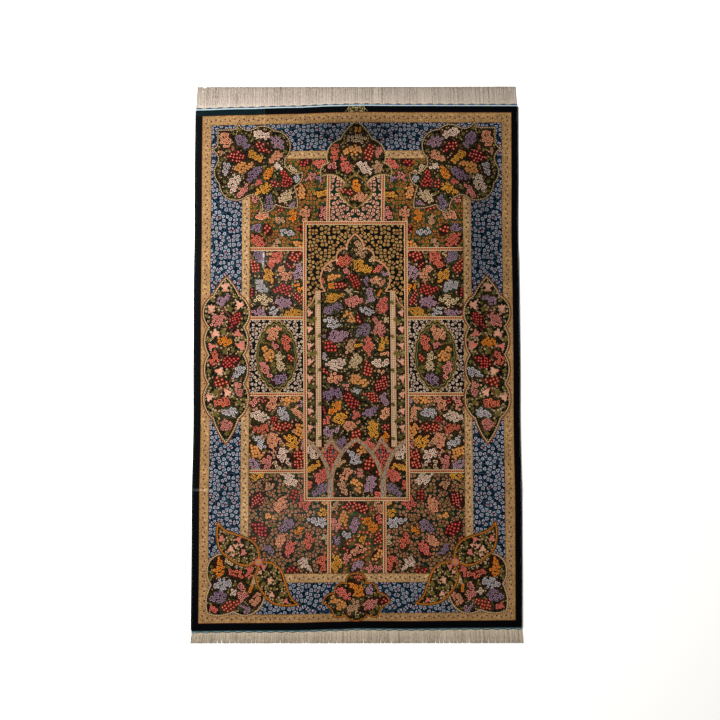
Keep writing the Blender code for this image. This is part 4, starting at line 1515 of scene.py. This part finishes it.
def slab(name, fine_height, plain_height, silks, rounded=0.0, below=False):
    """A closed slab whose patterned side is its top, or its underside if below is true."""
    loop = rim_loop(len(flat))
    inner, net = coarse_net(loop)
    count, edge = len(flat), len(loop)
    corners = np.concatenate([surface(flat, fine_height, rounded), surface(flat[loop], plain_height, 0.0),
                              surface(inner, plain_height, 0.0)])
    fine_faces = faces[:, ::-1] if below else faces
    net_faces = net + count if below else net[:, ::-1] + count
    ids = np.arange(edge)
    after = (ids + 1) % edge
    loop = np.array(loop)
    wall = np.concatenate([
        np.stack([loop[ids], count + ids, count + after], 1),
        np.stack([loop[ids], count + after, loop[after]], 1)])
    wall = wall[:, ::-1] if below else wall
    every = np.concatenate([fine_faces, wall, net_faces])
    mesh = bpy.data.meshes.new(name)
    mesh.vertices.add(len(corners))
    mesh.vertices.foreach_set("co", corners.astype(np.float32).ravel())
    mesh.loops.add(3 * len(every))
    mesh.loops.foreach_set("vertex_index", every.astype(np.int32).ravel())
    mesh.polygons.add(len(every))
    mesh.polygons.foreach_set("loop_start", np.arange(0, 3 * len(every), 3, dtype=np.int32))
    kinds = np.array([SILKS.index(row[1]) for row in cartoon])
    whose = np.concatenate([owner, np.full(len(wall) + len(net_faces), edge_zone)])
    mesh.polygons.foreach_set("material_index", kinds[whose].astype(np.int32))
    mesh.update(calc_edges=True)
    for material in silks:
        mesh.materials.append(material)

    places = np.concatenate([flat, flat[loop], inner])
    straight = np.column_stack([np.abs(places[:, 0]), places[:, 1], np.zeros(len(places))])
    carry(mesh, "weave", straight, "POINT")
    for k, label in enumerate(("dye", "accent", "leafy", "heart")):
        carry(mesh, label, corner_values([row[2][k] for row in cartoon], whose))
    carry(mesh, "size", corner_values([row[5] for row in cartoon], whose))
    carry(mesh, "form", corner_values([row[6] for row in cartoon], whose))
    grains = np.array([row[4] for row in cartoon], float)[np.repeat(whose, 3)]
    at = places[every.ravel()] - grains[:, :2]
    along = at[:, 0] * grains[:, 2] + at[:, 1] * grains[:, 3] + grains[:, 4]
    across = at[:, 1] * grains[:, 2] - at[:, 0] * grains[:, 3]
    carry(mesh, "grain", np.stack([along, across, np.zeros(len(along))], 1))

    # the baked map: the patterned side fills it, and the rest takes a strip along one edge
    low, high = np.array(EDGE_OUT[0::2]), np.array(EDGE_OUT[1::2])
    spread = (MAP_FROM + MAP_SPAN * (places - low) / (high - low))[every.ravel()]
    rest = np.repeat(np.arange(len(every)) >= len(fine_faces), 3)
    spread[rest, 1] = STRIP_FROM + STRIP_SPAN * (spread[rest, 1] - MAP_FROM[1]) / MAP_SPAN[1]
    mesh.uv_layers.new(name="OFBake").data.foreach_set("uv", spread.astype(np.float32).ravel())

    # normals straight from the folds, so the thin triangles of the inlay don't show
    step = 0.5
    slopes = [surface(flat + way, fine_height, rounded) - surface(flat - way, fine_height, rounded)
              for way in ((step, 0), (0, step))]
    up = np.cross(*slopes)
    up /= np.linalg.norm(up, axis=1)[:, None]
    flat_normals = np.zeros(3 * len(every), np.float32)
    mesh.polygons.foreach_get("normal", flat_normals)
    normals = np.repeat(flat_normals.reshape(-1, 3), 3, axis=0)
    normals[:3 * len(fine_faces)] = (-up if below else up)[fine_faces.ravel()]
    mesh.polygons.foreach_set("use_smooth", np.ones(len(every), bool))
    mesh.normals_split_custom_set(normals)
    print(name, len(every), "triangles")
    return put(name, mesh)


pile = slab("silk_pile", RUG_THICKNESS, PILE_FOOT, pile_silks, ROUND_DROP)

# %% [markdown]
# ## The back
#
# Turn a knotted rug over and the whole pattern is there again, mirrored, as rows of hard little loops
# without any pile. It is the same inlay on the underside of a second slab, in silk that has no lustre.

# %% The foundation
BACK_ROUGHNESS = 0.85
back_silks = [silk_finish("knot_backs_" + silk, PATTERNS[silk], BACK_ROUGHNESS, 0.02) for silk in SILKS]
foundation = slab("silk_foundation", 0.0, FOUNDATION_TOP, back_silks, below=True)

# %% [markdown]
# ## Yarn that follows a line
#
# The cords, the twined edges and the fringes are yarn. Each could be drawn strand by strand, but what
# repeats along a line is a job for Geometry Nodes: the script draws one line, a tree of nodes winds or
# plants the yarn on it, and the result is kept as a plain mesh.

# %% Trees and what they make


def recipe(name, **inputs):
    """A new tree of Geometry Nodes with named inputs, and the outputs of its input node."""
    tree = bpy.data.node_groups.new(name, "GeometryNodeTree")
    tree.interface.new_socket("Made", in_out="OUTPUT", socket_type="NodeSocketGeometry")
    tree.interface.new_socket("Line", in_out="INPUT", socket_type="NodeSocketGeometry")
    for label, value in inputs.items():
        kind = "NodeSocketInt" if isinstance(value, int) else "NodeSocketFloat"
        tree.interface.new_socket(label, in_out="INPUT", socket_type=kind).default_value = value
    tree.interface.new_socket("Finish", in_out="INPUT", socket_type="NodeSocketMaterial")
    return tree, add(tree, "NodeGroupInput")


def serve(tree, made, finish):
    """End a tree: shade it smooth, realize its instances and set the material."""
    smooth = add(tree, "GeometryNodeSetShadeSmooth", (made,))[0]
    real = add(tree, "GeometryNodeRealizeInstances", (smooth,))[0]
    done = add(tree, "GeometryNodeSetMaterial", {"Geometry": real, "Material": finish})[0]
    add(tree, "NodeGroupOutput", (done,))


def spin(name, line, tree, finish, **values):
    """Run a tree on a line of points and keep what it makes as one plain mesh."""
    mesh = bpy.data.meshes.new(name + "_line")
    mesh.from_pydata(line, [(k, k + 1) for k in range(len(line) - 1)], [])
    holder = put(name + "_line", mesh)
    nodes = holder.modifiers.new("yarn", "NODES")
    nodes.node_group = tree
    values["Finish"] = finish
    for socket in tree.interface.items_tree:
        if socket.in_out == "INPUT" and socket.name in values:
            nodes[socket.identifier] = values[socket.name]
    graph = bpy.context.evaluated_depsgraph_get()
    made = bpy.data.meshes.new_from_object(
        holder.evaluated_get(graph), preserve_all_data_layers=True, depsgraph=graph)
    made.name = name
    holder.modifiers.clear()
    bpy.data.objects.remove(holder)
    print(name, sum(len(face.vertices) - 2 for face in made.polygons), "triangles")
    return put(name, made)


# %% [markdown]
# A yarn wound round a core is a helix. Each point of the line moves out by the core's radius, in a
# direction that turns once for every turn's length travelled.

# %% The overcast side cords
TURN = 0.0032           # length of one turn; real overcasting is about 1 mm, too fine to show
POINTS_A_TURN = 7
CORD_POINTS = 90
CORD_SEAT = 0.95        # the cord's middle above what it lies on, as a share of its radius
FLATTENED = 0.90        # the cord's height against its width, since it is pressed where it lies


def helix(tree, line, radius, turn, start):
    """Wind a line into a helix about itself."""
    step = add(tree, "ShaderNodeMath", (turn, POINTS_A_TURN), operation="DIVIDE")[0]
    fine = add(tree, "GeometryNodeResampleCurve", {"Curve": line, "Length": step}, mode="LENGTH")[0]
    gone = add(tree, "GeometryNodeSplineParameter")["Length"]
    turns = add(tree, "ShaderNodeMath", (gone, turn), operation="DIVIDE")[0]
    angle = add(tree, "ShaderNodeMath", (turns, 2 * math.pi, start), operation="MULTIPLY_ADD")[0]
    sine = add(tree, "ShaderNodeMath", (angle,), operation="SINE")[0]
    cosine = add(tree, "ShaderNodeMath", (angle,), operation="COSINE")[0]
    low = add(tree, "ShaderNodeMath", (sine, FLATTENED), operation="MULTIPLY")[0]
    tangent = add(tree, "GeometryNodeInputTangent")[0]
    level = add(tree, "ShaderNodeVectorMath", (tangent, (0, 0, 1)), operation="CROSS_PRODUCT")[0]
    side = add(tree, "ShaderNodeVectorMath", {0: level, "Scale": cosine}, operation="SCALE")[0]
    up = add(tree, "ShaderNodeCombineXYZ", (0.0, 0.0, low))[0]
    way = add(tree, "ShaderNodeVectorMath", (side, up), operation="ADD")[0]
    out = add(tree, "ShaderNodeVectorMath", {0: way, "Scale": radius}, operation="SCALE")[0]
    return add(tree, "GeometryNodeSetPosition", {"Geometry": fine, "Offset": out})[0]


def tube(tree, line, corners, radius):
    """A closed tube along a line, round as a shape with that many corners."""
    ring = add(tree, "GeometryNodeCurvePrimitiveCircle", {"Resolution": corners, "Radius": radius})
    return add(tree, "GeometryNodeCurveToMesh", {0: line, 1: ring, "Fill Caps": True})


overcast, sizes = recipe("overcast_cord", Core=0.0014, Yarn=0.00062, Turn=TURN)
line = add(overcast, "GeometryNodeMeshToCurve", (sizes["Line"],))[0]
core = tube(overcast, line, 8, sizes["Core"])
wound = helix(overcast, line, sizes["Core"], sizes["Turn"], 0.0)
wrap = tube(overcast, wound, 5, sizes["Yarn"])
cord = add(overcast, "GeometryNodeJoinGeometry", ([core, wrap],))
serve(overcast, cord, sizes["Finish"])


def yarn_finish(name, light, dark, roughness, lustre, streak=0.0015):
    """Twisted silk yarn: two shades in streaks along the yarn, and a soft shine."""
    material, tree, shader = new_material(name)
    place = add(tree, "ShaderNodeTexCoord")["Object"]
    fine = add(tree, "ShaderNodeTexNoise", {"Vector": place, "Scale": 1 / streak, "Detail": 2.0})["Fac"]
    share = add(tree, "ShaderNodeMapRange", (fine, 0.35, 0.65, 0.0, 1.0))[0]
    mixed = add(tree, "ShaderNodeMix", {0: share, 6: rgba(light), 7: rgba(dark)},
                data_type="RGBA")[2]
    bump = add(tree, "ShaderNodeBump", {"Strength": 0.3, "Distance": 0.0002, "Height": fine})[0]
    feed(shader, {"Base Color": mixed, "Normal": bump, "Roughness": roughness,
                  "Specular IOR Level": lustre})
    return material


# Overcast silk: hard-spun and dyed nearly black, so it only shows as a fine ribbed edge.
black_silk = yarn_finish("overcast_black_silk", "#0a0c12", "#030405", 0.6, 0.12)
for side, word in ((-1, "left"), (1, "right")):
    radius = CORD_DIAMETER / 2
    y0 = np.linspace(-HALF_LENGTH + MM, HALF_LENGTH - MM, CORD_POINTS)
    x, y = laid(np.full(CORD_POINTS, side * (HALF_WIDTH - radius)), y0)
    z = lift(x, y) + radius * CORD_SEAT
    cord = spin("overcast_cord_" + word, list(zip(x, y + PILE_MIDDLE, z)), overcast, black_silk)
    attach(cord, "root")
    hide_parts("selvedge_" + word)

# %% [markdown]
# ## Flat-woven ends
#
# Beyond the last knots the weaver weaves a narrow plain strip that holds them, and binds its edge with
# a twined cord, which the bunched warps pull into scallops. The strip is a slab whose top rises over
# and under like the weft it is woven from. Pale silk shows next to the pile and navy silk in the
# scallops; at the bottom end the strip is dark green and grey-blue.

# %% The strips
WEFT = 1.25             # mm between two wefts, drawn twice as coarse as they are
WARP = 2.6              # mm between two warps, drawn four times as coarse
STRIP_COLUMNS = 620
STRIP_ROWS = 19
DASHED_FROM = 3.3       # mm from the pile to where the scallops' colour starts, and to the rim
RIM_FROM = 6.4
DASH_LEVEL = 0.62       # the higher, the shorter the dashes
STRIP_FOOT = 0.0002
STRIP_TOP = 0.0011


def woven_edge(end, x):
    """The scalloped outer edge of the flat-woven strip."""
    wave = SCALLOP_DEPTH * np.cos(2 * math.pi * x / SCALLOP_PITCH)
    return pile_end(end, x) + end * (WOVEN_END + wave)


def strip_finish(name, near, dash, far, rim):
    """Matt flat-woven silk: one colour near the pile, dashes of another in the scallops, and a rim."""
    material, tree, shader = new_material(name)
    place = add(tree, "ShaderNodeAttribute", attribute_name="weave")["Vector"]
    parts = add(tree, "ShaderNodeSeparateXYZ", (place,))
    turn = add(tree, "ShaderNodeMath", (parts[0], 2 * math.pi / SCALLOP_PITCH * MM),
               operation="MULTIPLY")[0]
    wave = add(tree, "ShaderNodeMath", (turn,), operation="COSINE")[0]
    wobble = add(tree, "ShaderNodeTexNoise", {"Vector": place, "Scale": 0.10}, noise_dimensions="2D")["Fac"]
    uneven = add(tree, "ShaderNodeMath", (wobble, 1.6, wave), operation="MULTIPLY_ADD")[0]
    in_scallop = add(tree, "ShaderNodeMath", (uneven, DASH_LEVEL), operation="GREATER_THAN")[0]
    outer = add(tree, "ShaderNodeMath", (parts[1], DASHED_FROM), operation="GREATER_THAN")[0]
    on_rim = add(tree, "ShaderNodeMath", (parts[1], RIM_FROM), operation="GREATER_THAN")[0]
    beyond = add(tree, "ShaderNodeMix", {0: in_scallop, 6: rgba(far), 7: rgba(dash)},
                 data_type="RGBA")[2]
    a = add(tree, "ShaderNodeMix", {0: outer, 6: rgba(near), 7: beyond}, data_type="RGBA")[2]
    b = add(tree, "ShaderNodeMix", {0: on_rim, 6: a, 7: rgba(rim)}, data_type="RGBA")[2]
    threads = add(tree, "ShaderNodeVectorMath", (place, (1 / WARP, 1 / WEFT, 0)), operation="MULTIPLY")[0]
    cell = add(tree, "ShaderNodeVectorMath", (threads,), operation="FLOOR")[0]
    take = add(tree, "ShaderNodeTexWhiteNoise", {"Vector": cell}, noise_dimensions="2D")["Value"]
    shade = add(tree, "ShaderNodeMapRange", (take, 0.0, 1.0, 0.75, 1.1))[0]
    dyed = add(tree, "ShaderNodeVectorMath", {0: b, "Scale": shade}, operation="SCALE")[0]
    feed(shader, {"Base Color": dyed, "Roughness": 0.8, "Specular IOR Level": 0.15})
    return material


def strip(name, end, finish):
    """The flat-woven strip as a closed slab with its weave raised on top."""
    x = np.linspace(-END_HALF_WIDTH, END_HALF_WIDTH, STRIP_COLUMNS)[:, None]
    share = np.linspace(0, 1, STRIP_ROWS)[None, :]
    inner = pile_end(end, x) + end * GAP
    outer = woven_edge(end, x) - end * GAP
    y = inner + (outer - inner) * share
    deep = np.abs(y - inner) / MM
    base = lift(x, inner)
    row = np.floor(deep / WEFT)
    round_weft = np.sqrt(np.clip(1 - (2 * (deep / WEFT - row) - 1) ** 2, 0, 1))
    over = 0.5 + 0.5 * np.cos(math.pi * (x / MM / WARP + row))
    top = base + STRIP_TOP + MM * round_weft * (0.15 + 0.45 * over)
    spots = [np.stack(np.broadcast_arrays(x, y + PILE_MIDDLE, top), 2).reshape(-1, 3)]
    for edge in (inner, outer):
        low = np.stack(np.broadcast_arrays(x, edge + PILE_MIDDLE, base + STRIP_FOOT), 2)
        spots.append(low.reshape(-1, 3))
    count = STRIP_COLUMNS * STRIP_ROWS
    mesh_faces = []
    for i in range(STRIP_COLUMNS - 1):
        a, b = i * STRIP_ROWS, (i + 1) * STRIP_ROWS
        mesh_faces += [(a + j, b + j, b + j + 1, a + j + 1) for j in range(STRIP_ROWS - 1)]
        near, far = count + i, count + STRIP_COLUMNS + i
        mesh_faces.append((near, near + 1, b, a))
        mesh_faces.append((a + STRIP_ROWS - 1, b + STRIP_ROWS - 1, far + 1, far))
        mesh_faces.append((far, far + 1, near + 1, near))
    last = STRIP_COLUMNS - 1
    mesh_faces.append((*range(STRIP_ROWS), count + STRIP_COLUMNS, count))
    start = last * STRIP_ROWS
    mesh_faces.append((*range(start, start + STRIP_ROWS), count + STRIP_COLUMNS + last, count + last)[::-1])
    if end < 0:
        mesh_faces = [face[::-1] for face in mesh_faces]
    mesh = bpy.data.meshes.new(name)
    mesh.from_pydata(np.concatenate(spots).tolist(), [], mesh_faces)
    mesh.materials.append(finish)
    places = [np.stack(np.broadcast_arrays(x / MM, deep, 0 * deep), 2).reshape(-1, 3)]
    for edge in (inner, outer):
        side_place = np.stack(np.broadcast_arrays(x / MM, np.abs(edge - inner) / MM, 0 * x), 2)
        places.append(side_place.reshape(-1, 3))
    carry(mesh, "weave", np.concatenate(places), "POINT")
    mesh.polygons.foreach_set("use_smooth", np.ones(len(mesh.polygons), bool))
    print(name, sum(len(face) - 2 for face in mesh_faces), "triangles")
    return put(name, mesh)


# Plain-woven silk without pile: dull, ribbed, each weft a hand's pull lighter or darker.
pale_weave = strip_finish("plain_woven_pale_silk", "#93a6aa", "#343c66", "#6f8080", "#4c4a2c")
green_weave = strip_finish("plain_woven_green_silk", "#304546", "#5f7c8a", "#465e58", "#5a5636")
top_strip = strip("flat_woven_top", 1, pale_weave)
bottom_strip = strip("flat_woven_bottom", -1, green_weave)

# %% Twined edges
TWINE_POINTS = 400
TWINE_INSET = 0.0012
TWINE_LIFT = 0.0003


def end_line(end, count, inset, height):
    """Points along a scalloped end, a little inside its edge and above the cloth's underside."""
    x = np.linspace(-END_HALF_WIDTH + MM, END_HALF_WIDTH - MM, count)
    y = woven_edge(end, x) - end * inset + PILE_MIDDLE
    return list(zip(x, y, lift(x, pile_end(end, x)) + height))


twine, sizes = recipe("twined_edge", Radius=0.00055, Yarn=0.00056, Turn=0.0038)
line = add(twine, "GeometryNodeMeshToCurve", (sizes["Line"],))[0]
tubes = []
for start in (0.0, math.pi):
    ply = helix(twine, line, sizes["Radius"], sizes["Turn"], start)
    tubes.append(tube(twine, ply, 5, sizes["Yarn"]))
serve(twine, add(twine, "GeometryNodeJoinGeometry", (tubes,)), sizes["Finish"])

# Two-ply olive silk, firmly twisted, so light and dark alternate along it.
olive_twine = yarn_finish("two_ply_olive_silk", "#55512f", "#1c2016", 0.7, 0.1)
for end, word in ((1, "top"), (-1, "bottom")):
    rim = end_line(end, TWINE_POINTS, TWINE_INSET, STRIP_TOP + TWINE_LIFT)
    edge = spin("twined_edge_" + word, rim, twine, olive_twine)
    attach(edge, "root")

# %% [markdown]
# ## Fringes
#
# The warps run out past the last weft and are cut straight across. The tree plants a yarn at every
# step of the scalloped edge, stretches it to the cut, lets it wander a little and draws neighbours
# together into locks, so that narrow gaps open here and there. Its tone and how far along it each
# point lies stay on the mesh for the finish to read.

# %% The fringes
NICK_AT = -0.474        # where a snip shortens the top fringe, how deep and how wide it is
NICK_DEEP = 0.006
NICK_HALF = 0.006
FRINGE_INSET = 0.0008
FRINGE_LIFT = 0.0010
STRAND_POINTS = 6
LINE_POINTS = 500
comb, sizes = recipe("fringe", Yarns=2600, Tip=0.863, Spread=1.0, Yarn=0.00042, Lock=0.024, Gather=0.2,
                     Wander=0.003, Ragged=0.001, Nick=0.0)
line = add(comb, "GeometryNodeMeshToCurve", (sizes["Line"],))[0]
roots = add(comb, "GeometryNodeCurveToPoints", {"Curve": line, "Count": sizes["Yarns"]}, mode="COUNT")[0]
unit = add(comb, "GeometryNodeCurvePrimitiveLine", {"Start": (0, 0, 0), "End": (0, 1, 0)})[0]
planted = add(comb, "GeometryNodeInstanceOnPoints", {"Points": roots, "Instance": unit})[0]
yarns = add(comb, "GeometryNodeRealizeInstances", (planted,))[0]
even = add(comb, "GeometryNodeResampleCurve", {"Curve": yarns, "Count": STRAND_POINTS}, mode="COUNT")[0]
far = add(comb, "GeometryNodeSplineParameter")["Factor"]
which = add(comb, "GeometryNodeCurveOfPoint")["Curve Index"]
here = add(comb, "ShaderNodeSeparateXYZ", (add(comb, "GeometryNodeInputPosition"),))
root_y = add(comb, "ShaderNodeMath", (here[1], far), operation="SUBTRACT")[0]
bow = add(comb, "ShaderNodeMath", (far, 2.2), operation="POWER")[0]
even_at = add(comb, "ShaderNodeMath", (here[0], sizes["Lock"]), operation="DIVIDE")[0]
wave_at = add(comb, "ShaderNodeCombineXYZ", (even_at, 0.0, 0.0))[0]
slow = add(comb, "ShaderNodeTexNoise", {"Vector": wave_at, "Scale": 0.8, "Detail": 2.0})["Fac"]
sway = add(comb, "ShaderNodeMath", (slow, -0.5), operation="ADD")[0]
lock_at = add(comb, "ShaderNodeMath", (sway, 5.0, even_at), operation="MULTIPLY_ADD")[0]
near_lock = add(comb, "ShaderNodeMath", (lock_at, 0.5), operation="ADD")[0]
lock = add(comb, "ShaderNodeMath", (near_lock,), operation="FLOOR")[0]
to_lock = add(comb, "ShaderNodeMath", (lock, lock_at), operation="SUBTRACT")[0]
pulled = add(comb, "ShaderNodeMath", (to_lock, sway), operation="ADD")[0]
gathered = add(comb, "ShaderNodeMath", (pulled, sizes["Gather"]), operation="MULTIPLY")[0]
wide = add(comb, "ShaderNodeMath", (gathered, sizes["Lock"]), operation="MULTIPLY")[0]
own_way = add(comb, "FunctionNodeRandomValue", {2: -0.5, 3: 0.5, "ID": which, "Seed": 3})[1]
wander_at = add(comb, "ShaderNodeCombineXYZ", (which, far, 0.0))[0]
wavy = add(comb, "ShaderNodeTexNoise", {"Vector": wander_at, "Scale": 2.3, "Detail": 1.0})["Fac"]
wavy_off = add(comb, "ShaderNodeMath", (wavy, -0.5), operation="ADD")[0]
strays = add(comb, "ShaderNodeMath", (own_way, wavy_off), operation="ADD")[0]
stray = add(comb, "ShaderNodeMath", (strays, sizes["Wander"]), operation="MULTIPLY")[0]
drift = add(comb, "ShaderNodeMath", (wide, stray), operation="ADD")[0]
bowed = add(comb, "ShaderNodeMath", (drift, bow), operation="MULTIPLY")[0]
wider = add(comb, "ShaderNodeMath", (sizes["Spread"], -1.0), operation="ADD")[0]
spread = add(comb, "ShaderNodeMath", (wider, far), operation="MULTIPLY")[0]
stretched = add(comb, "ShaderNodeMath", (spread, here[0], here[0]), operation="MULTIPLY_ADD")[0]
new_x = add(comb, "ShaderNodeMath", (stretched, bowed), operation="ADD")[0]
cut = add(comb, "FunctionNodeRandomValue", {2: -1.0, 3: 0.0, "ID": which, "Seed": 5})[1]
short = add(comb, "ShaderNodeMath", (cut, sizes["Ragged"], sizes["Tip"]), operation="MULTIPLY_ADD")[0]
from_nick = add(comb, "ShaderNodeMath", (here[0], NICK_AT), operation="SUBTRACT")[0]
nick_side = add(comb, "ShaderNodeMath", (from_nick,), operation="ABSOLUTE")[0]
nick = add(comb, "ShaderNodeMapRange", (nick_side, 0.0, NICK_HALF, sizes["Nick"], 0.0))[0]
trimmed = add(comb, "ShaderNodeMath", (short, nick), operation="SUBTRACT")[0]
new_y = add(comb, "ShaderNodeMix", {0: far, 2: root_y, 3: trimmed}, data_type="FLOAT")[0]
layer_of = add(comb, "FunctionNodeRandomValue", {2: 0.0006, 3: 0.0017, "ID": which, "Seed": 7})[1]
settled = add(comb, "ShaderNodeMath", (far, 0.4), operation="POWER")[0]
new_z = add(comb, "ShaderNodeMix", {0: settled, 2: here[2], 3: layer_of}, data_type="FLOAT")[0]
new_place = add(comb, "ShaderNodeCombineXYZ", (new_x, new_y, new_z))[0]
laid_out = add(comb, "GeometryNodeSetPosition", {"Geometry": even, "Position": new_place})[0]
tone_of = add(comb, "FunctionNodeRandomValue", {2: 0.0, 3: 1.0, "ID": which, "Seed": 11})[1]
toned = add(comb, "GeometryNodeStoreNamedAttribute",
            {"Geometry": laid_out, "Name": "tone", "Value": tone_of},
            data_type="FLOAT", domain="POINT")[0]
marked = add(comb, "GeometryNodeStoreNamedAttribute", {"Geometry": toned, "Name": "along", "Value": far},
             data_type="FLOAT", domain="POINT")[0]
serve(comb, tube(comb, marked, 4, sizes["Yarn"]), sizes["Finish"])


def fringe_finish(name, light, dark):
    """Loose undyed silk warps: every yarn its own shade, brighter at the root, darker at the cut with
    painted shadow of the frayed ends.
    """
    material, tree, shader = new_material(name)
    tone, along = [
        add(tree, "ShaderNodeAttribute", attribute_name=label)[CARRIED[label]]
        for label in ("tone", "along")]
    place = add(tree, "ShaderNodeTexCoord")["Object"]
    streaks = add(tree, "ShaderNodeVectorMath", (place, (300.0, 130.0, 0.0)), operation="MULTIPLY")[0]
    fine = add(tree, "ShaderNodeTexNoise", {"Vector": streaks, "Scale": 1.0, "Detail": 2.0})["Fac"]
    share = add(tree, "ShaderNodeMath", (fine, tone), operation="MULTIPLY")[0]
    dim = add(tree, "ShaderNodeMapRange", (share, 0.05, 0.55, 0.0, 1.0))[0]
    mixed = add(tree, "ShaderNodeMix", {0: dim, 6: rgba(light), 7: rgba(dark)},
                data_type="RGBA")[2]
    root = add(tree, "ShaderNodeMapRange", (along, 0.0, 0.15, 1.15, 1.0))[0]
    # painted shadow: the last fifth of each yarn darkens toward the cut, where the frayed ends shade it
    tip = add(tree, "ShaderNodeMapRange", (along, 0.80, 1.0, 1.0, 0.78))[0]
    brighter_root_painted_tip_shade = add(tree, "ShaderNodeMath", (root, tip), operation="MULTIPLY")[0]
    shaded = add(tree, "ShaderNodeVectorMath", {0: mixed, "Scale": brighter_root_painted_tip_shade}, operation="SCALE")[0]
    feed(shader, {"Base Color": shaded, "Roughness": 0.55, "Specular IOR Level": 0.2})
    return material


for end, word, yarns_count, gather, finish in (
        (1, "top", 2700, 0.05, fringe_finish("undyed_silk_warps", "#aa9d90", "#6a6057")),
        (-1, "bottom", 2500, 0.13, fringe_finish("undyed_silk_warps_dusty", "#baab97", "#6c604f"))):
    reach = TOP_REACH if end > 0 else BOTTOM_REACH
    roots = end_line(end, LINE_POINTS, FRINGE_INSET, FRINGE_LIFT)
    fringe = spin("fringe_yarns_" + word, roots, comb, finish, Yarns=yarns_count,
                  Tip=end * reach + PILE_MIDDLE, Spread=SPREAD[end], Gather=gather, Ragged=end * 0.0012,
                  Nick=NICK_DEEP if end > 0 else 0.0)
    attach(fringe, "root")
    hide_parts("fringe_" + word)

# %% [markdown]
# Last, the pieces of cloth join the rest, and the model's parts they stand for are hidden. The pile
# and its foundation are as large as the knotted part. The flat-woven ends are only 7.5 mm of the same
# warps, too narrow to be sheets of their own, so they go with the foundation, as a hem would, like the
# cords and fringes.

for piece, node, slot in (
        (pile, "rug_body", "silk_pile"), (foundation, "rug_body", "silk_pile"),
        (top_strip, "kilim_top", "flat_weave"), (bottom_strip, "kilim_bottom", "flat_weave")):
    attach(piece, "root")
    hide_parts(node)
